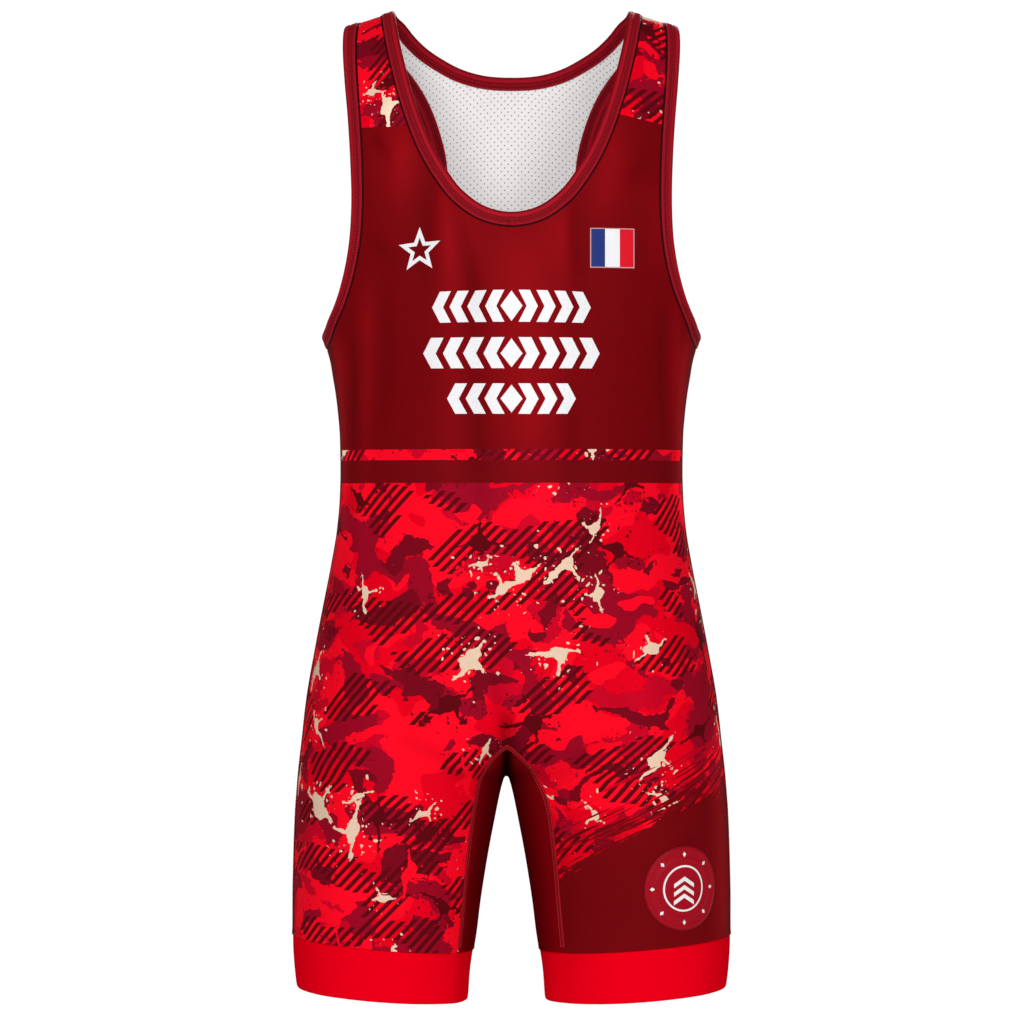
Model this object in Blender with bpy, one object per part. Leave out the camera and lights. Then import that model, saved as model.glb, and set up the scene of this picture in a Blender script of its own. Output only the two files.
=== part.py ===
"""A one-piece wrestling suit in its worn form: hollow, rounded out and open at neck, arms and legs.

Lengths in the tables are millimetres. Every piece lies on one smooth body surface, which is read
in flat-pattern terms: `across` runs round the body from the centre line, `run` runs up the body
and, above the arm line, on over the shoulder.
"""

import math

import bpy
import numpy as np
from mathutils import Vector
from mathutils.geometry import delaunay_2d_cdt

MM = 0.001
CLOTH = 2.0  # wall of the panels
SEAM_GAP = 0.3  # left between neighbouring pieces
BINDING_WIDTH = 12.0
LINE_STEPS = 24
NET = 19.0  # side of the triangles that make up a panel
EDGE_STEP = 15.0  # spacing of points along the bound edges and seams

ARM_LINE = -297.0  # the surface leans towards the shoulder above this height
SHOULDER_LEAN = 94.0  # degrees of lean at which front and back meet
RIDGE_SET = 8.0  # how far behind the middle the shoulder line lies
CROTCH_EASE = 8.0  # softens the valley between the legs
CROTCH = -669.0
LEG_SHIFT = -4.5  # the inner legs hang a little to one side
SHIFT_REACH = np.array([(-880, 17.0), (-822, 19.0), (-690, 25.0), (-655, 42.0), (60, 42.0)])  # run, how far out it fades
GUSSET_TOP = -638.5
BAND_INSET = 0.8
BAND_WALL = 2.2

SECTIONS = np.array([
    # run, half_width, inside, front, back, squareness
    (-880, 188.0, 34.6, 82.0, 82.0, 2.05),
    (-860, 189.6, 33.6, 83.0, 83.0, 2.05),
    (-832, 192.5, 31.5, 84.0, 85.0, 2.05),
    (-808, 193.8, 27.6, 86.0, 87.0, 2.05),
    (-780, 193.8, 24.3, 89.0, 91.0, 2.05),
    (-740, 192.9, 18.5, 93.0, 96.0, 2.08),
    (-700, 191.2, 12.1, 97.0, 101.0, 2.10),
    (-675, 189.2, 8.7, 99.5, 104.5, 2.12),
    (-669, 188.7, 8.0, 100.0, 105.5, 2.12),
    (-655, 187.2, -6.0, 101.5, 107.5, 2.14),
    (-640, 185.4, -24.0, 103.0, 110.0, 2.15),
    (-600, 180.7, -75.0, 106.0, 115.0, 2.20),
    (-560, 173.7, -120.0, 107.5, 116.0, 2.25),
    (-520, 166.2, -154.0, 107.0, 113.0, 2.30),
    (-480, 158.4, -158.4, 105.5, 107.0, 2.30),
    (-450, 153.5, -153.5, 104.5, 102.0, 2.30),
    (-420, 151.0, -151.0, 104.0, 98.5, 2.30),
    (-400, 150.5, -150.5, 104.5, 97.5, 2.32),
    (-370, 151.0, -151.0, 106.0, 98.0, 2.35),
    (-350, 152.5, -152.5, 107.5, 99.0, 2.37),
    (-330, 154.9, -154.9, 109.5, 100.5, 2.38),
    (-315, 157.4, -157.4, 110.7, 101.5, 2.39),
    (-305, 159.0, -159.0, 111.4, 102.3, 2.40),
    (-297, 160.9, -160.9, 111.9, 103.0, 2.40),
    (-283, 165.6, -165.6, 112.4, 104.0, 2.40),
    (-265, 171.0, -171.0, 112.8, 105.0, 2.40),
    (-240, 172.0, -172.0, 113.0, 106.0, 2.40),
    (60, 172.0, -172.0, 113.0, 106.0, 2.40),
], float)

# Free edges of one half, in degrees round from the side and in run.
FRONT_NECK = [
    # around, run
    (90.0, -187.8), (85.2, -183.2), (79.2, -167.8), (75.3, -151.6), (71.3, -131.0), (67.2, -102.8),
    (63.8, -73.5), (61.0, -42.6), (59.0, -16.4), (57.6, 12.0), (57.2, 41.6),
]
BACK_NECK = [
    # around, run
    (90.0, -62.5), (84.9, -59.9), (78.6, -51.2), (71.5, -35.3), (67.7, -24.8), (63.7, -10.3),
    (60.6, 4.5), (57.9, 17.0), (57.2, 25.0),
]
FRONT_ARM = [
    # around, run
    (0.0, -279.0), (9.0, -277.4), (17.6, -272.4), (24.6, -262.4), (29.9, -249.6), (33.9, -232.4),
    (37.6, -203.0), (38.9, -170.0), (38.2, -124.8), (36.6, -86.3), (34.3, -45.0), (32.7, -5.0),
    (32.9, 18.0), (34.6, 41.6),
]
BACK_ARM = [
    # around, run
    (0.0, -279.0), (9.0, -277.8), (19.0, -273.4), (30.0, -264.2), (44.0, -246.4), (56.0, -223.0),
    (64.5, -195.0), (69.3, -163.0), (70.0, -133.0), (67.6, -102.0), (63.4, -73.0), (56.2, -43.0),
    (48.0, -17.0), (40.6, 5.5), (34.6, 25.0),
]
GUSSET_SEAM = [
    # x, run
    (0.0, GUSSET_TOP), (4.8, -641.8), (10.2, -646.8), (16.4, -653.9), (22.2, -663.0), (26.9, -673.4),
    (30.9, -687.0), (34.0, -704.0), (36.6, -725.0), (39.6, -755.0), (42.6, -789.0), (45.2, -822.0),
]
# Where front and back meet at the side: it moves forward down the leg.
SIDE_SEAM = np.array([(-880, 13.0), (-808, 12.5), (-700, 10.0), (-600, 5.0), (-500, 0.0), (60, 0.0)])
# How deep the binding wraps the edge, and how far it stands off the cloth.
BINDING_PROFILE = [
    # from_edge, height
    (0.0, -1.0), (0.9, 0.35), (3.0, 0.55), (11.2, 0.5), (12.0, 0.05),
    (12.0, -2.05), (11.2, -2.5), (3.0, -2.55), (0.9, -2.35),
]
FLAG = {"x": 86.8, "z": -208.1, "wide": 38.2, "tall": 34.4}  # as seen from the front
BADGE = {"across": 161.0, "run": -761.0, "radius": 37.0}
# Two rings stand up from the badge's face.
BADGE_PROFILE = [
    # share of the radius, height
    (0.32, 1.0), (0.64, 1.0), (0.67, 1.4), (0.72, 1.4), (0.75, 1.0), (0.86, 1.0), (0.89, 1.4), (0.98, 1.4), (1.0, 1.1),
]
BADGE_BASE = [(0.32, 0.4), (0.68, 0.4), (1.0, 0.4)]


def curve(xs, ys, at):
    """A smooth line through a table, with no overshoot between its rows."""
    xs, ys = np.asarray(xs, float), np.asarray(ys, float)
    step, rise = np.diff(xs), np.diff(ys) / np.diff(xs)
    slope = np.empty(len(xs))
    slope[0], slope[-1] = rise[0], rise[-1]
    for i in range(1, len(xs) - 1):
        before, after = 2 * step[i] + step[i - 1], step[i] + 2 * step[i - 1]
        turning = rise[i - 1] * rise[i] <= 0
        slope[i] = 0 if turning else (before + after) / (before / rise[i - 1] + after / rise[i])
    at = np.clip(np.asarray(at, float), xs[0], xs[-1])
    i = np.clip(np.searchsorted(xs, at, side="right") - 1, 0, len(xs) - 2)
    t = (at - xs[i]) / step[i]
    return (
        (2 * t**3 - 3 * t**2 + 1) * ys[i]
        + (t**3 - 2 * t**2 + t) * step[i] * slope[i]
        + (3 * t**2 - 2 * t**3) * ys[i + 1]
        + (t**3 - t**2) * step[i] * slope[i + 1]
    )


def signed_power(value, power):
    return np.sign(value) * np.abs(value) ** power


# The body surface


def section(run):
    """Half width, centre, reach, front depth, back depth, squareness and valley ease at a height."""
    half, inside, front, back, square = (curve(SECTIONS[:, 0], SECTIONS[:, k], run) for k in range(1, 6))
    down = np.clip((-run - 500) / 110, 0, 1)
    return half, (half + inside) / 2, (half - inside) / 2, front, back, square, CROTCH_EASE * down**2 * (3 - 2 * down)


def ridge(x):
    """How far the shoulder line stands over the arm line."""
    return 304.0 - 0.35 * (np.hypot(x, 50.0) - math.hypot(107.0, 50.0))


LEAN = np.linspace(0, math.radians(130), 400)


def lean_lengths(depth):
    speed = np.hypot(RIDGE_SET * np.cos(LEAN) + depth * np.sin(LEAN), 297 * np.cos(LEAN))
    return np.concatenate([[0], np.cumsum((speed[1:] + speed[:-1]) / 2 * np.diff(LEAN))])


FRONT_LEAN, BACK_LEAN = lean_lengths(97.1), lean_lengths(90.7)


def level(parts, around):
    """x and y of the right half of a level section, by degrees from the side: over 0 in front."""
    half, centre, reach, front, back, square, ease = parts
    angle = np.radians(around)
    from_middle = centre + reach * signed_power(np.cos(angle), 2 / square)
    x = np.sqrt(np.maximum(from_middle**2 - ease**2, 0)) * half / np.sqrt(half**2 - ease**2)
    return x, np.where(around < 0, back, -front) * np.abs(np.sin(angle)) ** (2 / square)


def body(run, around):
    """A point of the right half: level below the arm line, leaning over the shoulder above it."""
    up = np.maximum(run - ARM_LINE, 0)
    lean = np.where(around < 0, np.interp(up, BACK_LEAN, LEAN), np.interp(up, FRONT_LEAN, LEAN))
    x, depth = level(section(run), np.where(lean > math.pi / 2, -around, around))
    y = RIDGE_SET * np.sin(lean) + depth * np.abs(np.cos(lean))
    z = np.where(run > ARM_LINE, ARM_LINE + ridge(x) * np.sin(lean), run)
    return np.stack([x, y, z], -1)


def around_of_x(run, x):
    half, centre, reach, _, _, square, ease = section(run)
    from_middle = np.hypot(x * np.sqrt(half**2 - ease**2) / half, ease)
    return np.degrees(np.arccos(np.clip(signed_power((from_middle - centre) / reach, square / 2), -1, 1)))


def round_lengths(run):
    """Degrees round a level and the length along it from the side seam, one row for each height."""
    share = np.sin(np.linspace(-math.pi / 2, math.pi / 2, 361))
    around = around_of_x(run, 0.0)[:, None] * share
    x, y = level([part[:, None] for part in section(run)], around)
    length = np.cumsum(np.hypot(np.diff(x, axis=1, prepend=x[:, :1]), np.diff(y, axis=1, prepend=y[:, :1])), axis=1)
    seam = curve(SIDE_SEAM[:, 0], SIDE_SEAM[:, 1], run)
    return around, length - row_lookup(seam, around, length)[:, None]


def row_lookup(at, xs, ys):
    """np.interp on each row."""
    i = np.clip((xs < at[:, None]).sum(1), 1, xs.shape[1] - 1)
    rows = np.arange(len(at))
    x0, x1, y0, y1 = xs[rows, i - 1], xs[rows, i], ys[rows, i - 1], ys[rows, i]
    return y0 + (y1 - y0) * (at - x0) / np.maximum(x1 - x0, 1e-9)


def seam_x(run):
    """How far from the middle the gusset seam lies, or 0 above its top."""
    seam = np.array(GUSSET_SEAM)
    return np.where(run < GUSSET_TOP, curve(-seam[:, 1], seam[:, 0], -run), 0.0)


def half_of(run, sign, around, length):
    """Length from the centre line to the side seam. Below the gusset's top it starts at that seam."""
    x = seam_x(run)
    return sign * row_lookup(sign * around_of_x(run, x), around, length) + x


def half_at(run, sign):
    run = np.atleast_1d(np.asarray(run, float))
    found = half_of(run, sign, *round_lengths(run))
    return found if len(found) > 1 else found[0]


def on_body(flat, sign):
    """Flat-pattern points (across, run) of the front (sign 1) or back (-1) on the body surface."""
    flat = np.asarray(flat, float)
    across, run = np.abs(flat[:, 0]), flat[:, 1]
    around, length = round_lengths(run)
    angle = row_lookup(sign * (half_of(run, sign, around, length) - across), length, around)
    points = body(run, angle)
    points[:, 0] *= np.where(flat[:, 0] < 0, -1, 1)
    return points


def flat_at(seen, sign):
    """The flat-pattern points that lie at the given x and z."""
    flat = np.array(seen, float)
    for _ in range(12):
        flat += seen - on_body(flat, sign)[:, [0, 2]]
    return flat


def frame_on_body(flat, sign, step=0.6):
    """Points, steps across, steps along the run, and outward normals."""
    flat = np.asarray(flat, float)
    moves = [flat + np.array(move) * step for move in ((1, 0), (-1, 0), (0, 1), (0, -1))]
    right, left, up, down = (on_body(move, sign) for move in moves)
    across, along = (right - left) / (2 * step), (up - down) / (2 * step)
    normal = np.cross(across, along) * sign
    return on_body(flat, sign), across, along, normal / np.linalg.norm(normal, axis=1, keepdims=True)


def across_of(run, around, sign):
    table = round_lengths(run)
    return half_of(run, sign, *table) - sign * row_lookup(sign * around, *table)


def placed(points):
    """The inner legs' small shift to one side."""
    points = np.array(points, float)
    down = np.clip((-points[:, 2] - 540) / 130, 0, 1)
    inside = np.maximum(curve(SECTIONS[:, 0], SECTIONS[:, 2], points[:, 2]), 0)
    out = (np.abs(points[:, 0]) - inside) / curve(SHIFT_REACH[:, 0], SHIFT_REACH[:, 1], points[:, 2])
    out = np.clip(out, 0, 1)
    points[:, 0] += LEG_SHIFT * down**2 * (3 - 2 * down) * (1 - out**2 * (3 - 2 * out))
    return points


# Lines of the flat pattern


def smooth_line(points, mirror_start, mirror_end):
    """A dense smooth line through points, 24 steps between each two.

    A mirror is (axis, value): the line is taken to go on as its own reflection there, so it
    meets the mirror squarely.
    """
    points = np.asarray(points, float)

    def reflected(point, mirror):
        image = point.copy()
        image[mirror[0]] = 2 * mirror[1] - image[mirror[0]]
        return image

    path = np.vstack([reflected(points[1], mirror_start), points, reflected(points[-2], mirror_end)])
    knots = np.concatenate([[0], np.cumsum(np.linalg.norm(np.diff(path, axis=0), axis=1) ** 0.75)])
    fine = []
    for i in range(1, len(path) - 2):
        p, k = path[i - 1 : i + 3], knots[i - 1 : i + 3]
        t = np.linspace(k[1], k[2], LINE_STEPS, endpoint=False)[:, None]
        a = [((k[j + 1] - t) * p[j] + (t - k[j]) * p[j + 1]) / (k[j + 1] - k[j]) for j in range(3)]
        b = [((k[j + 2] - t) * a[j] + (t - k[j]) * a[j + 1]) / (k[j + 2] - k[j]) for j in range(2)]
        fine.append(((k[2] - t) * b[0] + (t - k[1]) * b[1]) / (k[2] - k[1]))
    return np.vstack(fine + [points[-1:]])


def spaced(line, spacing):
    length = np.concatenate([[0], np.cumsum(np.linalg.norm(np.diff(line, axis=0), axis=1))])
    count = max(2, round(length[-1] / spacing) + 1)
    at = np.linspace(0, length[-1], count)
    return np.stack([np.interp(at, length, line[:, k]) for k in range(2)], 1)


def flat_edge(table, sign):
    table = np.array(table, float)
    return np.stack([across_of(table[:, 1], table[:, 0], sign), table[:, 1]], 1)


SHOULDER_RUN = {
    1: ARM_LINE + float(np.interp(math.radians(SHOULDER_LEAN), LEAN, FRONT_LEAN)),
    -1: ARM_LINE + float(np.interp(math.radians(180 - SHOULDER_LEAN), LEAN, BACK_LEAN)),
}


def edge_lines(front_table, back_table, spacing=EDGE_STEP):
    """A free edge of the right half: {sign: (points, directions)} from its lower end to the shoulder."""
    front, back = flat_edge(front_table, 1), flat_edge(back_table, -1)
    front[-1, 1], back[-1, 1] = SHOULDER_RUN[1], SHOULDER_RUN[-1]
    shift, turn = front[-1, 0] - back[-1, 0], SHOULDER_RUN[1] + SHOULDER_RUN[-1]
    over = np.vstack([front, ((back + (shift, 0)) * (1, -1) + (0, turn))[-2::-1]])
    line = smooth_line(over, (0, over[0, 0]), (0, over[-1, 0]))
    at = (len(front) - 1) * LINE_STEPS
    first, second = spaced(line[: at + 1], spacing), spaced(line[at:], spacing)
    way = np.gradient(np.vstack([first, second[1:]]), axis=0)
    way[0, 1] = way[-1, 1] = 0.0
    second = (second * (1, -1) + (-shift, turn))[::-1]
    return {1: (first, way[: len(first)]), -1: (second, (way[len(first) - 1 :] * (-1, 1))[::-1])}


def inward(line, way, sign, side):
    """For each point of a line, the flat-pattern step that goes 1 mm square off it on the body.

    side 1 is to the left of the line's direction, seen from outside.
    """
    _, across, along, normal = frame_on_body(line, sign)
    forward = across * way[:, :1] + along * way[:, 1:]
    goal = np.cross(normal, forward) * side
    goal /= np.linalg.norm(goal, axis=1, keepdims=True)
    aa, ab, bb = (np.einsum("ij,ij->i", u, v) for u, v in ((across, across), (across, along), (along, along)))
    ga, gb = (np.einsum("ij,ij->i", u, goal) for u in (across, along))
    fall = aa * bb - ab * ab
    return np.stack([(ga * bb - gb * ab) / fall, (gb * aa - ga * ab) / fall], 1)


def hem_run(x, top=True):
    """The band's upper or lower edge: a level line that drops slightly towards the inner leg."""
    slant = (np.abs(x) - 110.0) / 80.0
    return -814.5 + 6.5 * slant if top else -860.0 + 5.5 * slant


def gusset_line():
    """The gusset seam from its top to the band: closer points round its top."""
    line = smooth_line(GUSSET_SEAM, (0, 0.0), (1, GUSSET_SEAM[-1][1]))
    line = line[line[:, 1] > hem_run(45.0) + 4]
    length = np.concatenate([[0], np.cumsum(np.linalg.norm(np.diff(line, axis=0), axis=1))])
    at, here = [0.0], 0.0
    while here < length[-1] - 8:
        here += min(EDGE_STEP, 5.0 + here * 0.12)
        at.append(here)
    line = np.stack([np.interp(at, length, line[:, k]) for k in range(2)], 1)
    x = 45.0
    return np.vstack([line[line[:, 1] > hem_run(x) + 5], [(x, hem_run(x))]])


def off_line(line, distance):
    """A flat line moved sideways, towards its left if distance is over 0."""
    way = np.gradient(line, axis=0)
    way[0] = (1, 0) if abs(line[0, 0]) < 1e-6 else way[0]
    way /= np.linalg.norm(way, axis=1, keepdims=True)
    return line + distance * np.stack([-way[:, 1], way[:, 0]], 1)


# Meshes


def add_object(name, points, faces, colour, roughness):
    mesh = bpy.data.meshes.new(name)
    mesh.from_pydata([Vector(point) for point in placed(points) * MM], [], [list(map(int, face)) for face in faces])
    mesh.validate()
    for polygon in mesh.polygons:
        polygon.use_smooth = True
    item = bpy.data.objects.new(name, mesh)
    bpy.context.scene.collection.objects.link(item)
    material = bpy.data.materials.new(name)
    material.use_nodes = True
    shader = material.node_tree.nodes["Principled BSDF"]
    shader.inputs["Base Color"].default_value = (*colour, 1.0)
    shader.inputs["Roughness"].default_value = roughness
    shader.inputs["Metallic"].default_value = 0.0
    mesh.materials.append(material)
    return item


def inside_outline(points, outline, margin):
    """Which points lie in a closed outline, at least `margin` from it."""
    a, b = outline, np.roll(outline, -1, axis=0)
    crosses = (a[:, 1] > points[:, 1:2]) != (b[:, 1] > points[:, 1:2])
    with np.errstate(divide="ignore", invalid="ignore"):
        meet = a[:, 0] + (points[:, 1:2] - a[:, 1]) * (b[:, 0] - a[:, 0]) / (b[:, 1] - a[:, 1])
    inside = ((points[:, :1] < meet) & crosses).sum(1) % 2 == 1
    edge = b - a
    share = ((points[:, None] - a) * edge).sum(2) / (edge**2).sum(1)
    nearest = a + np.clip(share, 0, 1)[:, :, None] * edge
    return inside & (np.linalg.norm(points[:, None] - nearest, axis=2).min(1) > margin)


def net_of(outline, size):
    """Points and triangles that fill an outline, the outline's own points first."""
    low, high = outline.min(0), outline.max(0)
    rows = np.arange(math.floor(low[1] / (size * 0.866)), math.ceil(high[1] / (size * 0.866)))
    columns = np.arange(math.floor(low[0] / size) - 1, math.ceil(high[0] / size) + 1)
    grid = np.array([((c + 0.5 * (r % 2)) * size, r * size * 0.866) for r in rows for c in columns])
    grid = grid[inside_outline(grid, outline, size * 0.62)]
    points = np.vstack([outline, grid])
    flat = [Vector((float(x), float(y))) for x, y in points]
    found = delaunay_2d_cdt(flat, [], [list(range(len(outline)))], 1, 1e-7)
    return np.array([tuple(v) for v in found[0]]), [tuple(face) for face in found[2]]


def shell_faces(count, triangles):
    """Outer faces, inner faces and the wall round their rim. Inner points follow the outer ones."""
    ways = {(f[i], f[(i + 1) % 3]) for f in triangles for i in range(3)}
    rim = [(a, b) for a, b in sorted(ways) if (b, a) not in ways]
    inner = [tuple(i + count for i in reversed(face)) for face in triangles]
    walls = [face for a, b in rim for face in ((b, a, a + count), (b, a + count, b + count))]
    return list(triangles) + inner + walls


def facing(points, normals, triangles):
    """Triangles turned so that they face along the normals."""
    a, b, c = (points[[face[k] for face in triangles]] for k in range(3))
    side = np.einsum("ij,ij->i", np.cross(b - a, c - a), normals[[face[0] for face in triangles]])
    return [face if s > 0 else face[::-1] for face, s in zip(triangles, side)]


def add_sheet(name, outline, sign, colour, roughness, size=NET, low=-CLOTH, high=0.0):
    flat, triangles = net_of(outline, size)
    points, _, _, normals = frame_on_body(flat, sign)
    triangles = facing(points, normals, triangles)
    solid = np.vstack([points + normals * high, points + normals * low])
    return add_object(name, solid, shell_faces(len(flat), triangles), colour, roughness)


def grid_faces(rows, columns, closed_rows=True, closed_columns=True):
    faces = []
    for r in range(rows if closed_rows else rows - 1):
        for c in range(columns if closed_columns else columns - 1):
            a, b = r * columns + c, r * columns + (c + 1) % columns
            d, e = (r + 1) % rows * columns + c, (r + 1) % rows * columns + (c + 1) % columns
            faces += [(a, b, e), (a, e, d)]
    return faces


def outward(points, faces):
    """Faces of a closed mesh, turned round if they enclose less than nothing."""
    corners = points[np.array(faces)]
    volume = np.einsum("ij,ij->i", corners[:, 0], np.cross(corners[:, 1], corners[:, 2])).sum()
    return faces if volume > 0 else [face[::-1] for face in faces]


# Pieces


def panel_outline(sign):
    """The right half from the centre front down the neck's side, then mirrored."""
    inset = BINDING_WIDTH + SEAM_GAP
    (neck, neck_way), (arm, arm_way) = edge_lines(FRONT_NECK, BACK_NECK)[sign], edge_lines(FRONT_ARM, BACK_ARM)[sign]
    neck = neck + inward(neck, neck_way, sign, -sign) * inset
    arm = arm + inward(arm, arm_way, sign, sign) * inset
    neck[0, 0] = 0.0
    for line, way in ((neck, neck_way[-1]), (arm, arm_way[-1])):
        line[-1] += way * (SHOULDER_RUN[sign] - SEAM_GAP / 2 - line[-1, 1]) / way[1]
    top = spaced(np.array([neck[-1], arm[-1]]), NET)[1:-1]
    half = SEAM_GAP / 2
    arm[0, 0] = half_at(arm[0, 1], sign) - half
    down = spaced(np.array([arm[0], (0.0, hem_run(190.0))]) * (0, 1), EDGE_STEP)[:, 1]
    side = np.stack([half_at(down, sign) - half, down], 1)
    corner = corner_at_hem(half, sign)
    side = np.vstack([side[1:-1], [corner]])
    seam = off_line(gusset_line(), half)
    seam[0] = (0.0, GUSSET_TOP + half)
    seam[-1, 1] = hem_run(45.0)
    seam[1:, 0] = across_of(seam[1:, 1], around_of_x(seam[1:, 1], seam[1:, 0]), sign)
    hem = hem_points(corner, seam[-1], sign)
    right = np.vstack([neck, top, arm[::-1], side, hem, seam[::-1]])
    left = right[::-1] * (-1, 1)
    return np.vstack([right, left[(np.abs(left[:, 0]) > 1e-6)]])


def corner_at_hem(half, sign):
    run = hem_run(190.0)
    for _ in range(4):
        at = np.array([(half_at(run, sign) - half, run)])
        run = float(hem_run(on_body(at, sign)[0, 0]))
    return half_at(run, sign) - half, run


def hem_points(corner, inner, sign):
    """Points along the hem between the side seam and the gusset seam, all in one slanting plane."""
    across = spaced(np.array([(corner[0], 0.0), (inner[0], 0.0)]), EDGE_STEP)[1:-1, 0]
    run = np.full(len(across), -814.0)
    for _ in range(4):
        run = hem_run(on_body(np.stack([across, run], 1), sign)[:, 0])
    return np.stack([across, run], 1)


def binding_rings(lines, sign, side):
    """Rings of binding profile points, one for each point of a free edge on front or back."""
    line, way = lines[sign]
    depth, height = np.array(BINDING_PROFILE).T
    step = inward(line, way, sign, side)
    flat = (line[:, None] + step[:, None] * depth[None, :, None]).reshape(-1, 2)
    points, _, _, normals = frame_on_body(flat, sign)
    ring = points + normals * np.tile(height, len(line))[:, None]
    return ring.reshape(len(line), len(depth), 3)


def add_binding(name, rings, colour):
    """One closed strip from rings that share their end stations."""
    loop = np.concatenate([ring[:-1] for ring in rings])
    points = loop.reshape(-1, 3)
    faces = outward(points, grid_faces(len(loop), loop.shape[1]))
    return add_object(name, points, faces, colour, 0.62)


def add_neck_binding():
    lines, flip = edge_lines(FRONT_NECK, BACK_NECK), (-1, 1, 1)
    front, back = binding_rings(lines, 1, -1), binding_rings(lines, -1, 1)
    front[0, :, 0] = back[0, :, 0] = 0.0
    return add_binding("neck_binding", [front, back[::-1], back * flip, (front * flip)[::-1]], BINDING_COLOUR)


def add_armhole_binding(name, mirrored):
    lines = edge_lines(FRONT_ARM, BACK_ARM)
    flip = (-1 if mirrored else 1, 1, 1)
    front, back = binding_rings(lines, 1, 1) * flip, binding_rings(lines, -1, -1) * flip
    return add_binding(name, [front, back[::-1]], BINDING_COLOUR)


def valley(y, sign):
    """Height of the line between the legs at a depth from the middle."""
    runs = np.linspace(CROTCH, -600.0, 120)
    depth = np.abs(body(runs, sign * around_of_x(runs, 0.0))[:, 1])
    return np.interp(np.abs(y), depth, runs)


def gusset_ring(x, run, shares, sign):
    """Points from the seam point (x, run) to the middle of the inner leg, on front or back."""
    start = body(np.array([run]), sign * around_of_x(np.array([run]), np.array([x])))[0]
    down = np.clip((GUSSET_TOP - run) / 79.0, 0, 1)
    end = run - (GUSSET_TOP - CROTCH) * (1 - down) ** 2
    y = start[1] * (1 - shares)
    level = run + (end - run) * shares
    sag = valley(y, sign) - (valley(start[1:2], sign) + (CROTCH - valley(start[1:2], sign)) * shares)
    z = level + (1 - down) ** 2 * sag
    _, _, _, front, back, square, _ = section(z)
    depth = np.abs(y) / np.where(sign < 0, back, front)
    around = 180.0 - np.degrees(np.arcsin(np.clip(depth, 0, 1) ** (square / 2)))
    return body(z, sign * around)


def add_gusset():
    shares = np.linspace(0, 1, 5)
    seam = off_line(gusset_line(), -SEAM_GAP / 2)
    seam[0] = (0.0, GUSSET_TOP - SEAM_GAP / 2)
    seam[-1] = (45.0, hem_run(45.0))
    seam[:, 0] = np.maximum(seam[:, 0], 0)
    near = []
    for x, run in seam:
        rows = []
        for sign in (1, -1):
            at = gusset_ring(x, run, shares, sign)
            if run < -790:
                slant = hem_run(at[:, 0]) - hem_run(45.0)
                rows.append(gusset_level(at, run, slant * (-790 - run) / (-790 - hem_run(45.0)), shares, sign))
            else:
                rows.append(at)
        near.append(np.vstack([rows[0], rows[1][-2::-1]]))
    near = np.array(near)
    near[0, :, 0] = 0.0
    grid = np.concatenate([near[:0:-1] * (-1, 1, 1), near])
    along, over = np.gradient(grid, axis=0), np.gradient(grid, axis=1)
    normals = np.cross(along, over)
    normals /= np.linalg.norm(normals, axis=2, keepdims=True)
    rows, columns = grid.shape[:2]
    middle = normals[rows // 2, columns // 2]
    normals *= -np.sign(middle[2])
    points, normals = grid.reshape(-1, 3), normals.reshape(-1, 3)
    triangles = facing(points, normals, grid_faces(rows, columns, False, False))
    solid = np.vstack([points, points - normals * CLOTH])
    return add_object("gusset", solid, shell_faces(len(points), triangles), GUSSET_COLOUR, 0.68)


def gusset_level(points, run, change, shares, sign):
    """A level row of the gusset with its height changed, kept on the body."""
    z = run + change
    _, _, _, front, back, square, _ = section(z)
    depth = np.abs(points[:, 1]) / np.where(sign < 0, back, front)
    around = 180.0 - np.degrees(np.arcsin(np.clip(depth, 0, 1) ** (square / 2)))
    return body(z, sign * around)


def add_leg_band(name, mirrored, segments=36):
    """A tube round the leg, a little inside the panels' face."""
    around = np.linspace(-180, 180, segments, endpoint=False)
    rings = []
    for share, inset in ((0.0, 0.25), (0.04, 0.0), (0.5, 0.0), (0.96, 0.0), (1.0, 0.4)):
        run = np.full(segments, -840.0)
        for _ in range(4):
            x = body(run, around)[:, 0]
            top = hem_run(x) - SEAM_GAP
            run = top + (hem_run(x, False) - top) * share
        rings.append((run, inset))
    outer, inner = [], []
    for run, inset in rings:
        before, after = body(run, around - 0.5), body(run, around + 0.5)
        out = np.cross(after - before, (0.0, 0.0, 1.0))
        out /= np.linalg.norm(out, axis=1, keepdims=True)
        at = body(run, around)
        if np.einsum("ij,ij->i", out, at - at.mean(0)).sum() < 0:
            out = -out
        outer.append(at - out * (BAND_INSET + inset))
        inner.append(at - out * (BAND_INSET + BAND_WALL - inset))
    rows = np.array(outer + inner[::-1])
    if mirrored:
        rows = rows * (-1, 1, 1)
    points = rows.reshape(-1, 3)
    faces = outward(points, grid_faces(len(rows), segments))
    return add_object(name, points, faces, BAND_COLOUR, 0.55)


def add_flag():
    columns, rows = 5, 4
    x = FLAG["x"] + np.linspace(-0.5, 0.5, columns) * FLAG["wide"]
    z = FLAG["z"] + np.linspace(-0.5, 0.5, rows) * FLAG["tall"]
    flat = flat_at(np.array([(a, b) for b in z for a in x]), 1)
    points, _, _, normals = frame_on_body(flat, 1)
    triangles = facing(points, normals, grid_faces(rows, columns, False, False))
    solid = np.vstack([points + normals * 0.9, points + normals * SEAM_GAP])
    return add_object("flag_patch", solid, shell_faces(len(flat), triangles), (0.55, 0.52, 0.56), 0.5)


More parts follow.
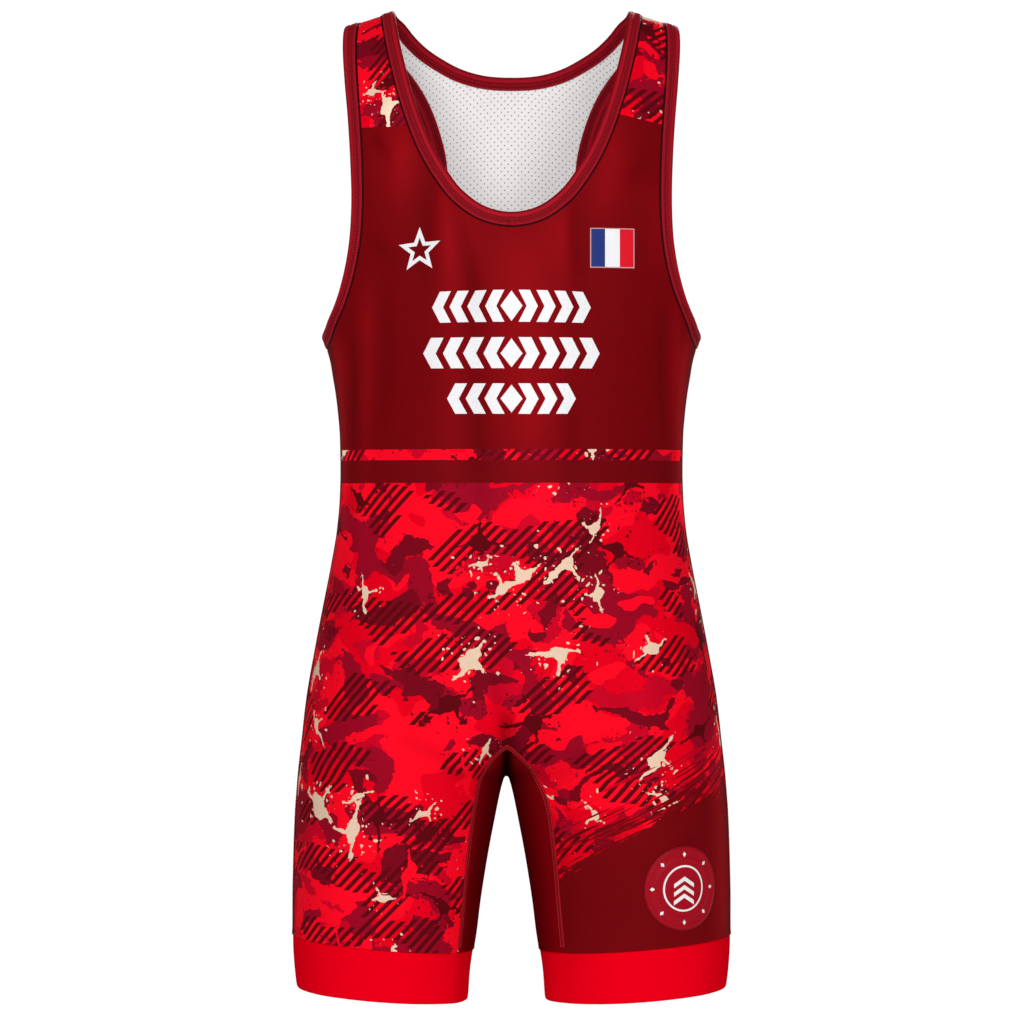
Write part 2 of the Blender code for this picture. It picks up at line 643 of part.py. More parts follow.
def add_badge(segments=32):
    """A disc that follows the thigh, with two raised rings on its face."""
    turn = np.linspace(0, 2 * math.pi, segments, endpoint=False)
    circle = np.stack([np.cos(turn), np.sin(turn)], 1)
    middle = np.array([(BADGE["across"], BADGE["run"])])

    def disc(rings, centre_height):
        flat = np.vstack([middle] + [middle + circle * share * BADGE["radius"] for share, _ in rings])
        height = np.concatenate([[centre_height]] + [np.full(segments, tall) for _, tall in rings])
        points, _, _, normals = frame_on_body(flat, 1)
        return points + normals * height[:, None]

    face, base = disc(BADGE_PROFILE, BADGE_PROFILE[0][1]), disc(BADGE_BASE, BADGE_BASE[0][1])

    def fan(rings, start):
        at = [(start, start + 1 + k, start + 1 + (k + 1) % segments) for k in range(segments)]
        return at + [tuple(start + 1 + i for i in f) for f in grid_faces(rings, segments, False, True)]

    faces = fan(len(BADGE_PROFILE), 0) + fan(len(BADGE_BASE), len(face))
    rim, low_rim = len(face) - segments, len(face) + len(base) - segments
    for k in range(segments):
        n = (k + 1) % segments
        faces += [(rim + k, low_rim + k, low_rim + n), (rim + k, low_rim + n, rim + n)]
    solid = np.vstack([face, base])
    return add_object("badge_patch", solid, consistent(faces, solid), (0.34, 0.004, 0.02), 0.42)


def consistent(faces, points):
    """The same faces, each turned to agree with its neighbours, facing out."""
    at = {}
    for i, face in enumerate(faces):
        for k in range(3):
            at.setdefault(frozenset((face[k], face[(k + 1) % 3])), []).append(i)
    turned, queue, seen = list(faces), [0], {0}
    while queue:
        i = queue.pop()
        for k in range(3):
            a, b = turned[i][k], turned[i][(k + 1) % 3]
            for j in at[frozenset((a, b))]:
                if j in seen:
                    continue
                seen.add(j)
                face = turned[j]
                if (a, b) in {(face[m], face[(m + 1) % 3]) for m in range(3)}:
                    turned[j] = face[::-1]
                queue.append(j)
    return outward(points, turned)


FRONT_COLOUR = (0.22, 0.006, 0.014)
BACK_COLOUR = (0.72, 0.69, 0.68)
BINDING_COLOUR = (0.20, 0.005, 0.013)
GUSSET_COLOUR = (0.10, 0.002, 0.004)
BAND_COLOUR = (0.80, 0.003, 0.012)


def main():
    for item in list(bpy.data.objects):
        bpy.data.objects.remove(item, do_unlink=True)
    add_sheet("front_panel", panel_outline(1), 1, FRONT_COLOUR, 0.66)
    add_sheet("back_panel", panel_outline(-1), -1, BACK_COLOUR, 0.66)
    add_gusset()
    add_neck_binding()
    add_armhole_binding("armhole_binding_left", False)
    add_armhole_binding("armhole_binding_right", True)
    add_leg_band("leg_band_left", False)
    add_leg_band("leg_band_right", True)
    add_flag()
    add_badge()


main()
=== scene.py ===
"""The wrestling suit's cloth: printed jersey, folded tapes, cover stitches, leg cuffs, flag and badge.

Lengths are millimetres until a mesh is made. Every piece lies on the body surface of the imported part, which
is read in flat-pattern terms: `across` runs round the body from the centre line, `run` runs up the body and,
above the arm line, on over the shoulder. `sign` is 1 on the front and -1 on the back.
"""

import math

import bpy
import numpy as np
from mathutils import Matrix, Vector, noise
from mathutils.geometry import delaunay_2d_cdt


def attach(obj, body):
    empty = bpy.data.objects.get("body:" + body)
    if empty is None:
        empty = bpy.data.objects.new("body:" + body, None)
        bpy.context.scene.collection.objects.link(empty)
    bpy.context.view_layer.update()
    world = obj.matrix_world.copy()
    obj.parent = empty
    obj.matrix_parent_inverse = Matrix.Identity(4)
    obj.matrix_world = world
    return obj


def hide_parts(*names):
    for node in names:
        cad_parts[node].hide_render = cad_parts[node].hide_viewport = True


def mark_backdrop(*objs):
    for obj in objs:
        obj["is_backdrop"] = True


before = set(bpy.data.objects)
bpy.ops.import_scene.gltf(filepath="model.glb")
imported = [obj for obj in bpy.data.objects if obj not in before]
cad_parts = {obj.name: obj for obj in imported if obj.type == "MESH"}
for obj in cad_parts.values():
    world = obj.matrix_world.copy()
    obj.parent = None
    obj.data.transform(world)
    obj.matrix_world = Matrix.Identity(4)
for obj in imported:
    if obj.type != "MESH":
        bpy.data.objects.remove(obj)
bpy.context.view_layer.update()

MM = 0.001
CLOTH = 1.1  # wall of the jersey
NET = 4.0  # side of the triangles of a panel
NET_ROW, NET_MARGIN = 0.866, 0.62  # between its rows, and from it to the outline, as shares of the side
EDGE_STEP, TAPE_STEP = 4.0, 3.0
TUCK = 1.6  # how far inside the fold of the tape the panel's edge lies
LINE_STEPS = 24
PITCH = 2.3  # one stitch
TAPE_THREAD = (0.6, 0.3)  # height of a tape's needle rows, and of the cover thread over them
SEAM_THREAD = (0.42, 0.12)  # the same on a flat seam
HOLE_PITCH, HOLE_ROWS = 6.2, 3.1  # the mesh, every other row set half a pitch aside

ARM_LINE = -297.0
SHOULDER_LEAN = 94.0  # degrees from level at the shoulder seam
SHOULDER_DEPTHS = (97.1, 90.7)  # front and back, by which the length over the shoulder is measured
RIDGE_SET = 8.0  # how far behind the middle the top of the shoulder lies
RIDGE_TOP, RIDGE_X, RIDGE_FALL, RIDGE_ROUND = 304.0, 107.0, 0.35, 50.0
CROTCH_EASE = 8.0  # how far the valley between the legs is rounded
EASE_TOP, EASE_FADE = 500, 110
CROTCH = -669.0
LEG_SHIFT = -4.5  # of the inner legs, which fades out above and towards the outer legs
SHIFT_TOP, SHIFT_FADE = 540, 130
SHIFT_REACH = np.array([(-880, 17), (-822, 19), (-690, 25), (-655, 42), (60, 42)], float)
GUSSET_TOP = -638.5
SADDLE = 79.0  # how far down the gusset its rows still sag towards the crotch
HEM_TOP, HEM_FOOT = (-814.5, 6.5), (-860.0, 5.5)  # the cuff's edges: run at the middle of the leg, and slant
HEM_SEAM_X = 45.0  # where the gusset seam meets the cuff
SLANT_TOP = -790.0  # below this the gusset's rows turn to the slant of the hem
SIDE_ENDS = (-292.4, -806.0)  # of the side seam
FLARE, FLARE_REACH = 0.4, 9.0  # how far the cloth's cut edge stands off the cuff, and how far up that reaches
SEAM_FADES = (18, 20, 30, 22)  # the creases fade out towards the side, gusset, shoulder and hem
FADE_FOOT = -815.0
SWELL = (0.45, 52, 64, 3.7)  # the cloth's slow unevenness: height, size across and along the run, and start

SECTIONS = np.array([
    # run, half_width, inside, front, back, squareness
    (-880, 188, 34.6, 82, 82, 2.05),
    (-860, 189.6, 33.6, 83, 83, 2.05),
    (-832, 192.5, 31.5, 84, 85, 2.05),
    (-808, 193.8, 27.6, 86, 87, 2.05),
    (-780, 193.8, 24.3, 89, 91, 2.05),
    (-740, 192.9, 18.5, 93, 96, 2.08),
    (-700, 191.2, 12.1, 97, 101, 2.1),
    (-675, 189.2, 8.7, 99.5, 104.5, 2.12),
    (-669, 188.7, 8, 100, 105.5, 2.12),
    (-655, 187.2, -6, 101.5, 107.5, 2.14),
    (-640, 185.4, -24, 103, 110, 2.15),
    (-600, 180.7, -75, 106, 115, 2.2),
    (-560, 173.7, -120, 107.5, 116, 2.25),
    (-520, 166.2, -154, 107, 113, 2.3),
    (-480, 158.4, -158.4, 105.5, 107, 2.3),
    (-450, 153.5, -153.5, 104.5, 102, 2.3),
    (-420, 151, -151, 104, 98.5, 2.3),
    (-400, 150.5, -150.5, 104.5, 97.5, 2.32),
    (-370, 151, -151, 106, 98, 2.35),
    (-350, 152.5, -152.5, 107.5, 99, 2.37),
    (-330, 154.9, -154.9, 109.5, 100.5, 2.38),
    (-315, 157.4, -157.4, 110.7, 101.5, 2.39),
    (-305, 159, -159, 111.4, 102.3, 2.4),
    (-297, 160.9, -160.9, 111.9, 103, 2.4),
    (-283, 165.6, -165.6, 112.4, 104, 2.4),
    (-265, 171, -171, 112.8, 105, 2.4),
    (-240, 172, -172, 113, 106, 2.4),
    (60, 172, -172, 113, 106, 2.4),
], float)
# The free edges of the right half, front (1) and back (-1), as rows of (around, run)
NECK = {
    1: [
        (90, -187.8), (85.2, -183.2), (79.2, -167.8), (75.3, -151.6), (71.3, -131), (67.2, -102.8),
        (63.8, -73.5), (61, -42.6), (59, -16.4), (57.6, 12), (57.2, 41.6),
    ],
    -1: [
        (90, -62.5), (84.9, -59.9), (78.6, -51.2), (71.5, -35.3), (67.7, -24.8), (63.7, -10.3),
        (60.6, 4.5), (57.9, 17), (57.2, 25),
    ],
}
ARM = {
    1: [
        (0, -279), (9, -277.4), (17.6, -272.4), (24.6, -262.4), (29.9, -249.6), (33.9, -232.4),
        (37.6, -203), (38.9, -170), (38.2, -124.8), (36.6, -86.3), (34.3, -45), (32.7, -5),
        (32.9, 18), (34.6, 41.6),
    ],
    -1: [
        (0, -279), (9, -277.8), (19, -273.4), (30, -264.2), (44, -246.4), (56, -223), (64.5, -195),
        (69.3, -163), (70, -133), (67.6, -102), (63.4, -73), (56.2, -43), (48, -17), (40.6, 5.5),
        (34.6, 25),
    ],
}
GUSSET_SEAM = [
    # x, run
    (0, GUSSET_TOP), (4.8, -641.8), (10.2, -646.8), (16.4, -653.9), (22.2, -663), (26.9, -673.4),
    (30.9, -687), (34, -704), (36.6, -725), (39.6, -755), (42.6, -789), (45.2, -822),
]
SIDE_SEAM = np.array([(-880, 13), (-808, 12.5), (-700, 10), (-600, 5), (-500, 0), (60, 0)], float)

# One half of the folded tape, from its lining round its end to its outer face. The other half mirrors it
# about the middle of the cloth. The low places are where the needle rows pull it down.
TAPE_HALF = [
    # from_edge, height
    (1.1, -0.15), (1.5, 0.12), (12, 0.12), (12, 0.72), (11.8, 1), (11.3, 1.08), (10.8, 0.95),
    (10.3, 0.62), (9.8, 0.9), (8.4, 1.04), (7.1, 0.92), (6.5, 0.5), (5.9, 0.98), (4.8, 1.32), (3.2, 1.42),
    (1.9, 1.22), (0.9, 0.7), (0.25, 0.1),
]
TAPE_SHADOW_LIP = [(13.6, -0.1), (13.6, 0.3), (13.2, 0.42), (12.2, 0.42)]  # a strip past the tape's inner edge, which the tape's material paints dark as the tape's shadow
NEEDLE_ROWS = (6.5, 10.3)
TAPE_REACH = 12.2  # how far from the edge a shoulder seam meets the tape
STITCH = [
    # along, height, thickness
    (0.08, -0.32, 0), (0.2, 0.02, 0.85), (0.5, 0.16, 1), (0.8, 0.02, 0.85), (0.92, -0.32, 0),
]
SEAM_ROWS = (-1.8, 1.8)  # a flat seam's needle rows
SEAM_FACE = [
    # sideways, height
    (-2.6, -0.1), (-2.4, 0.28), (-1.7, 0.34), (-0.9, 0.5), (0, 0.56), (0.9, 0.5), (1.7, 0.34), (2.4, 0.28),
    (2.6, -0.1), (1.2, -0.25), (0, -0.25), (-1.2, -0.25),
]
CUFF_FACE = [
    # share of the height, up, inset
    (0, 2.4, 1.15), (0, 0, 0.75), (0.06, 0, 0.55), (0.2, 0, 0.45), (0.35, 0, 0.4), (0.5, 0, 0.4),
    (0.65, 0, 0.4), (0.8, 0, 0.4), (0.9, 0, 0.45), (0.95, 0, 0.55), (0.975, 0, 0.75), (0.992, 0, 1.1),
    (1, 0, 1.6), (0.992, 0, 2.1), (0.97, 0, 2.4), (0.9, 0, 2.6), (0.5, 0, 2.6), (0.1, 0, 2.6), (0, 2.4, 2.5),
]
CUFF_WAVES = ((0.45, 3, 0.6), (0.4, 7, 2.1), (0.25, 12, 4.0))  # depth, times round the leg, start
BADGE_FACE = [
    # share of the radius, height
    (0.1, 0.95), (0.3, 0.95), (0.5, 0.95), (0.62, 0.95), (0.655, 1), (0.675, 1.4), (0.695, 1.46),
    (0.715, 1.4), (0.735, 1), (0.77, 0.95), (0.84, 0.95), (0.87, 1), (0.89, 1.42), (0.91, 1.48),
    (0.935, 1.42), (0.955, 1.1), (0.975, 1), (0.992, 0.85), (1, 0.5), (1, 0.25), (0.6, 0.25), (0.1, 0.25),
]
# Its place as seen from the front, its size, its thickness and how far its edge is pressed in
FLAG = {"x": 86.8, "z": -208.1, "wide": 38.2, "tall": 34.4, "wall": 0.45, "top": 0.6, "pressed": 0.15}
BADGE = {"across": 161.0, "run": -761.0, "radius": 37.0}

# Places of the print, by run
YOKE_EDGE, LEFT_YOKE_EDGE = -105.0, -94.5
CHEST_FOOT, CHEST_TOP = -381.3, 60.0
WAIST_LINE = (-410.3, -390.6)
THIN_STRIPE = (-400.0, -375.0)  # where the largest splashes stop
CHEST_ROWS = [
    # top, bottom, pitch of the chevrons, how many
    (-249.5, -274.5, 15.3, 4), (-286.5, -312.0, 17.5, 4), (-325.0, -351.0, 16.2, 3),
]
STAR = (-80.0, -214.0, 19.5)  # across, run, radius
BACK_PRINT_SHIFT = 911.0  # the back shows another part of the same print
BAR_ANGLE, BAR_PERIOD = math.radians(45), 6.8

EXPOSURE = 1.45  # how much light a surface that faces the front gets
AMBIENT, GROUND = 0.32, 1.02  # the white room, as it lights the cloth and as the camera sees it

# Creases of the worn cloth, front (1) and back (-1), each along its own line. Depth is over 0 for a ridge,
# under 0 for a trough. A row is depth, width, and across and run of each of the line's points.
FOLDS = {
    1: [
        (-2.3, 5.5, -50, -166, -41, -215, -27, -262, -19, -292),
        (1.7, 8, -63, -152, -57, -205, -51, -268),
        (-1.7, 9, -72, -140, -75, -200, -78, -270),
        (1.6, 12, -95, -100, -98, -150, -101, -200),
        (-2, 5, -128, -102, -118, -118, -104, -144),
        (-1.2, 7, -134, -194, -116, -211, -96, -227),
        (-1.7, 7, 55, -164, 58, -212, 64, -262),
        (1.3, 6, 46, -170, 45, -220, 50, -264),
        (1.6, 13, 94, -96, 86, -150, 75, -200),
        (-1.1, 6, 128, -120, 112, -142, 100, -168),
        (1.9, 7, -129, -236, -130, -300, -137, -380),
        (-1.3, 8, -111, -228, -112, -300, -119, -388),
        (-1.1, 6, -147, -264, -152, -320, -160, -384),
        (1.9, 7, 150, -236, 158, -300, 167, -376),
        (-1.2, 7, 136, -246, 141, -310, 148, -384),
        (1.4, 14, 15, -322, 18, -360, 16, -410),
        (-1.1, 10, -28, -330, -29, -372, -32, -428),
        (-1.1, 10, 53, -332, 53, -372, 56, -424),
        (-1.8, 4.5, -14, -556, -11, -592, -6, -632),
        (1.1, 8, 7, -552, 5, -600, 4, -630),
        (-1.5, 6, -38, -676, -68, -646, -112, -626),
        (-1.3, 6.5, 40, -674, 72, -640, 118, -622),
        (-1.1, 6, -46, -716, -80, -702, -120, -704),
        (-0.9, 6, 46, -722, 86, -704, 130, -700),
        (-1.1, 5, -192, -418, -168, -424, -136, -421),
        (-0.9, 5, 196, -436, 170, -443, 138, -440),
        (1, 14, -120, -520, -110, -600, -124, -690),
        (1, 14, 124, -530, 112, -610, 128, -700),
        (-0.8, 9, -190, -690, -150, -742, -96, -760),
        (-0.8, 9, 196, -700, 150, -736, 98, -752),
    ],
    -1: [
        (-2.2, 6.5, -128, -448, -60, -462, 20, -465, 92, -455),
        (-1.9, 6, -84, -488, -20, -496, 50, -492, 120, -480),
        (1.4, 7, -100, -474, -20, -480, 60, -478, 110, -468),
        (-1.4, 5.5, -150, -424, -100, -432, -50, -430),
        (-1.3, 5.5, 40, -428, 96, -434, 156, -422),
        (-2, 7, -44, -690, -84, -664, -142, -656, -190, -664),
        (-1.8, 7, 46, -686, 90, -662, 150, -658, 196, -668),
        (-1.4, 7, -52, -726, -96, -712, -150, -716),
        (-1.3, 7, 54, -730, 100, -716, 140, -722),
        (-1.5, 7, -70, -196, -82, -246, -84, -306),
        (-1.4, 7, 66, -190, 78, -244, 82, -312),
        (1.5, 12, -36, -120, -40, -190, -44, -270),
        (1.3, 12, 34, -130, 40, -200, 42, -280),
        (-1.2, 8, 4, -110, 2, -180, -2, -260),
        (1.6, 10, -150, -300, -148, -350, -142, -410),
        (1.5, 10, 152, -298, 150, -352, 144, -404),
    ],
}
FOLD_PAINTED_LIGHT = 0.1  # painted highlight and shade of the creases: how much lighter each millimetre of a ridge is, and darker each millimetre of a trough
# Broad painted highlights (over 0) and painted shade (under 0) on the cloth's colour, where the light falls
# more or less, in the same way.
PAINTED_LIGHT_STROKES = {
    1: [
        (0.42, 36, 8, -165, 10, -250, 14, -360, 24, -500),
        (-0.8, 7, -2, -598, 0, -638, 2, -690),
        (0.6, 17, 212, -620, 214, -740, 212, -880),
        (0.24, 13, -52, -150, -52, -300, -54, -520),
        (-0.14, 8, -38, -210, -32, -300, -18, -500),
        (-0.08, 8, 51, -190, 50, -340, 52, -500),
        (0.24, 10, -132, -220, -138, -330, -140, -520),
        (0.42, 24, -98, -60, -98, -120, -98, -190),
        (0.28, 26, 88, -60, 84, -140, 82, -230),
        (0.72, 16, -172, -262, -178, -340, -184, -460),
        (0.2, 14, -166, -380, -172, -430, -176, -490),
        (0.85, 18, 170, -262, 177, -340, 182, -460),
        (0.26, 15, 172, -380, 178, -430, 182, -490),
        (0.3, 20, -46, -145, -42, -190, -40, -240),
        (0.3, 14, 40, -145, 38, -190, 40, -245),
        (0.22, 13, 130, -140, 132, -190, 134, -245),
        (0.1, 26, 0, -180, 4, -230, 6, -300),
    ],
    -1: [
        (0.34, 40, 0, -70, 0, -240, 0, -460),
        (0.2, 16, -86, -110, -90, -260, -92, -460),
        (0.2, 16, 88, -110, 92, -260, 90, -460),
    ],
}


# The body surface


def curve(xs, ys, at):
    """A smooth line through a table, with no overshoot between its rows."""
    xs, ys = np.asarray(xs, float), np.asarray(ys, float)
    step, rise = np.diff(xs), np.diff(ys) / np.diff(xs)
    slope = rise[[0, *range(len(rise))]]
    for i in range(1, len(rise)):
        before, after = 2 * step[i] + step[i - 1], step[i] + 2 * step[i - 1]
        turning = rise[i - 1] * rise[i] <= 0
        slope[i] = 0 if turning else (before + after) / (before / rise[i - 1] + after / rise[i])
    at = np.clip(np.asarray(at, float), xs[0], xs[-1])
    i = np.clip(np.searchsorted(xs, at, side="right") - 1, 0, len(xs) - 2)
    t = (at - xs[i]) / step[i]
    ends = (2 * t**3 - 3 * t**2 + 1) * ys[i] + (3 * t**2 - 2 * t**3) * ys[i + 1]
    return ends + ((t**3 - 2 * t**2 + t) * slope[i] + (t**3 - t**2) * slope[i + 1]) * step[i]


def signed_power(value, power):
    return np.sign(value) * np.abs(value) ** power


def smooth(value):
    value = np.clip(value, 0, 1)
    return value**2 * (3 - 2 * value)


def unit(vectors):
    return vectors / np.maximum(np.linalg.norm(vectors, axis=-1, keepdims=True), 1e-9)


def section(run):
    """Half width, centre, reach, front depth, back depth, squareness and valley ease at a height."""
    half, inside, front, back, square = (curve(SECTIONS[:, 0], column, run) for column in SECTIONS[:, 1:].T)
    ease = CROTCH_EASE * smooth((-run - EASE_TOP) / EASE_FADE)
    return half, (half + inside) / 2, (half - inside) / 2, front, back, square, ease


def ridge(x):
    """How far the shoulder line stands over the arm line: it falls away from the neck."""
    return RIDGE_TOP - RIDGE_FALL * (np.hypot(x, RIDGE_ROUND) - math.hypot(RIDGE_X, RIDGE_ROUND))


def lean_lengths(depth):
    """Length over the shoulder from the arm line to each lean, for a body of that depth."""
    speed = np.hypot(RIDGE_SET * np.cos(LEAN) + depth * np.sin(LEAN), ARM_LINE * np.cos(LEAN))
    return np.concatenate([[0], np.cumsum((speed[1:] + speed[:-1]) / 2 * np.diff(LEAN))])


LEAN = np.linspace(0, math.radians(130), 400)
FRONT_LEAN, BACK_LEAN = (lean_lengths(depth) for depth in SHOULDER_DEPTHS)
SHOULDER_RUN = {
    1: ARM_LINE + float(np.interp(math.radians(SHOULDER_LEAN), LEAN, FRONT_LEAN)),
    -1: ARM_LINE + float(np.interp(math.radians(180 - SHOULDER_LEAN), LEAN, BACK_LEAN)),
}


def level(parts, around):
    """x and y of the right half of a level section, by degrees from the side: over 0 in front."""
    half, centre, reach, front, back, square, ease = parts
    angle = np.radians(around)
    from_middle = centre + reach * signed_power(np.cos(angle), 2 / square)
    x = np.sqrt(np.maximum(from_middle**2 - ease**2, 0)) * half / np.sqrt(half**2 - ease**2)
    return x, np.where(around < 0, back, -front) * np.abs(np.sin(angle)) ** (2 / square)


def body(run, around):
    """A point of the right half: level below the arm line, leaning over the shoulder above it."""
    up = np.maximum(run - ARM_LINE, 0)
    lean = np.where(around < 0, np.interp(up, BACK_LEAN, LEAN), np.interp(up, FRONT_LEAN, LEAN))
    x, depth = level(section(run), np.where(lean > math.pi / 2, -around, around))
    y = RIDGE_SET * np.sin(lean) + depth * np.abs(np.cos(lean))
    z = np.where(run > ARM_LINE, ARM_LINE + ridge(x) * np.sin(lean), run)
    return np.stack([x, y, z], -1)


def around_of_x(run, x):
    half, centre, reach, _, _, square, ease = section(run)
    from_middle = np.hypot(x * np.sqrt(half**2 - ease**2) / half, ease)
    return np.degrees(np.arccos(np.clip(signed_power((from_middle - centre) / reach, square / 2), -1, 1)))


def row_lookup(at, xs, ys):
    """np.interp on each row."""
    i = np.clip((xs < at[:, None]).sum(1), 1, xs.shape[1] - 1)
    rows = np.arange(len(at))
    x0, x1, y0, y1 = xs[rows, i - 1], xs[rows, i], ys[rows, i - 1], ys[rows, i]
    return y0 + (y1 - y0) * (at - x0) / np.maximum(x1 - x0, 1e-9)


def round_lengths(run):
    """Degrees round a level and the length along it from the side seam, one row for each height."""
    share = np.sin(np.linspace(-math.pi / 2, math.pi / 2, 361))
    around = around_of_x(run, 0.0)[:, None] * share
    x, y = level([part[:, None] for part in section(run)], around)
    steps = np.hypot(np.diff(x, axis=1, prepend=x[:, :1]), np.diff(y, axis=1, prepend=y[:, :1]))
    length = np.cumsum(steps, axis=1)
    return around, length - row_lookup(curve(*SIDE_SEAM.T, run), around, length)[:, None]


def seam_x(run):
    """How far from the middle the gusset seam lies, or 0 above its top."""
    x, height = np.array(GUSSET_SEAM).T
    return np.where(run < GUSSET_TOP, curve(-height, x, -run), 0.0)


def half_of(run, sign, around, length):
    """Length from the centre line to the side seam. Below the gusset's top it starts at that seam."""
    x = seam_x(run)
    return sign * row_lookup(sign * around_of_x(run, x), around, length) + x


def half_at(run, sign):
    run = np.atleast_1d(np.asarray(run, float))
    found = half_of(run, sign, *round_lengths(run))
    return found if len(found) > 1 else found[0]


def across_of(run, around, sign):
    """Length from the centre line to a point at that many degrees from the side."""
    table = round_lengths(run)
    return half_of(run, sign, *table) - sign * row_lookup(sign * around, *table)


def on_body(flat, sign):
    """Flat-pattern points (across, run) of the front or back on the body surface."""
    across, run = np.abs(flat[:, 0]), flat[:, 1]
    around, length = round_lengths(run)
    angle = row_lookup(sign * (half_of(run, sign, around, length) - across), length, around)
    points = body(run, angle)
    points[:, 0] *= np.where(flat[:, 0] < 0, -1, 1)
    return points


def flat_at(seen, sign):
    """The flat-pattern points that lie at the given x and z."""
    flat = np.array(seen, float)
    for _ in range(12):
        flat += seen - on_body(flat, sign)[:, [0, 2]]
    return flat


def batches(points, size=3000):
    """Points in lots that are small enough to work out at once."""
    return np.array_split(points, len(points) // size + 1)


def frame_on_body(flat, sign, step=0.6):
    """Points, steps across, steps along the run, and outward normals."""
    parts = []
    for some in batches(flat):
        moves = [some + np.array(move) * step for move in ((0, 0), (1, 0), (-1, 0), (0, 1), (0, -1))]
        here, right, left, up, down = (on_body(move, sign) for move in moves)
        across, along = (right - left) / (2 * step), (up - down) / (2 * step)
        parts.append((here, across, along, unit(np.cross(across, along) * sign)))
    return [np.concatenate(part) for part in zip(*parts)]


def strokes(flat, sign, table):
    """The sum of a table's soft strokes at flat-pattern points."""
    total = np.zeros(len(flat))
    for amount, width, *line in table[sign]:
        line = np.reshape(line, (-1, 2)).astype(float)
        nearest, place = np.full(len(flat), 1e9), np.zeros(len(flat))
        for i in range(len(line) - 1):
            edge = line[i + 1] - line[i]
            share = np.clip(((flat - line[i]) @ edge) / (edge @ edge), 0, 1)
            gap = np.linalg.norm(flat - line[i] - share[:, None] * edge, axis=1)
            place = np.where(gap < nearest, (i + share) / (len(line) - 1), place)
            nearest = np.minimum(gap, nearest)
        # Each stroke thins out over the first and last part of its length.
        taper = smooth(place / 0.3) * smooth((1 - place) / 0.45)
        total += amount * np.exp(-((nearest / width) ** 2)) * (0.15 + 0.85 * taper)
    return total


def relief(flat, sign):
    """How far the creases lift the cloth, fading out at the seams."""
    across, run = flat.T
    height, wide, tall, start = SWELL
    lift = np.array([height * noise.noise((a / wide, r / tall, start * sign)) for a, r in flat])
    lift += strokes(flat, sign, FOLDS)
    half = np.concatenate([np.atleast_1d(half_at(some, sign)) for some in batches(run)])
    below = run < GUSSET_TOP
    to_gusset = np.where(below, np.abs(across) - seam_x(run), np.hypot(across, run - GUSSET_TOP))
    to_side, to_shoulder, to_hem = half - np.abs(across), SHOULDER_RUN[sign] - run, run - FADE_FOOT
    for room, fade in zip((to_side, to_gusset, to_shoulder, to_hem), SEAM_FADES):
        lift *= smooth(room / fade)
    return lift


def painted_light_of(flat, sign):
    """Painted light and shade on the cloth's colour, about 1: highlights on ridges and broad lit parts, shade
    in troughs and broad shaded parts.
    """
    return np.exp(strokes(flat, sign, FOLDS) * FOLD_PAINTED_LIGHT + strokes(flat, sign, PAINTED_LIGHT_STROKES))


def skin(flat, sign):
    """Points and outward normals of the creased cloth."""
    points, _, _, normals = frame_on_body(flat, sign)
    return points + normals * relief(flat, sign)[:, None], normals


def placed(points):
    """The inner legs' small shift to one side."""
    points = np.array(points, float)
    down = smooth((-points[:, 2] - SHIFT_TOP) / SHIFT_FADE)
    inside = np.maximum(curve(SECTIONS[:, 0], SECTIONS[:, 2], points[:, 2]), 0)
    out = (np.abs(points[:, 0]) - inside) / curve(*SHIFT_REACH.T, points[:, 2])
    points[:, 0] += LEG_SHIFT * down * (1 - smooth(out))
    return points


# Lines of the flat pattern


def smooth_line(points, mirror_start, mirror_end):
    """A dense smooth line through points. A mirror is (axis, value), where the line goes on reflected."""
    points = np.asarray(points, float)

    def reflected(point, mirror):
        image = point.copy()
        image[mirror[0]] = 2 * mirror[1] - image[mirror[0]]
        return image

    path = np.vstack([reflected(points[1], mirror_start), points, reflected(points[-2], mirror_end)])
    knots = np.concatenate([[0], np.cumsum(np.linalg.norm(np.diff(path, axis=0), axis=1) ** 0.75)])
    fine = []
    for i in range(1, len(path) - 2):
        p, k = path[i - 1 : i + 3], knots[i - 1 : i + 3]
        t = np.linspace(k[1], k[2], LINE_STEPS, endpoint=False)[:, None]
        a = [((k[j + 1] - t) * p[j] + (t - k[j]) * p[j + 1]) / (k[j + 1] - k[j]) for j in range(3)]
        b = [((k[j + 2] - t) * a[j] + (t - k[j]) * a[j + 1]) / (k[j + 2] - k[j]) for j in range(2)]
        fine.append(((k[2] - t) * b[0] + (t - k[1]) * b[1]) / (k[2] - k[1]))
    return np.vstack(fine + [points[-1:]])


def lengths_of(line):
    return np.concatenate([[0], np.cumsum(np.linalg.norm(np.diff(line, axis=0), axis=1))])


def sampled(values, length, where):
    """Values kept along a line, read at other lengths along it."""
    return np.stack([np.interp(where, length, column) for column in values.T], 1)


def spaced(line, spacing):
    length = lengths_of(line)
    return sampled(line, length, np.linspace(0, length[-1], max(2, round(length[-1] / spacing) + 1)))


def edge_lines(edge, spacing):
    """A free edge of the right half: {sign: (points, directions)} from its lower end to the shoulder."""
    flats = []
    for sign in (1, -1):
        around, run = np.array(edge[sign], float).T
        flats.append(np.stack([across_of(run, around, sign), run], 1))
        flats[-1][-1, 1] = SHOULDER_RUN[sign]
    front, back = flats
    shift, turn = front[-1, 0] - back[-1, 0], SHOULDER_RUN[1] + SHOULDER_RUN[-1]
    over = np.vstack([front, ((back + (shift, 0)) * (1, -1) + (0, turn))[-2::-1]])
    line = smooth_line(over, (0, over[0, 0]), (0, over[-1, 0]))
    at = (len(front) - 1) * LINE_STEPS
    first, second = spaced(line[: at + 1], spacing), spaced(line[at:], spacing)
    way = np.gradient(np.vstack([first, second[1:]]), axis=0)
    way[0, 1] = way[-1, 1] = 0.0
    second = (second * (1, -1) + (-shift, turn))[::-1]
    return {1: (first, way[: len(first)]), -1: (second, (way[len(first) - 1 :] * (-1, 1))[::-1])}


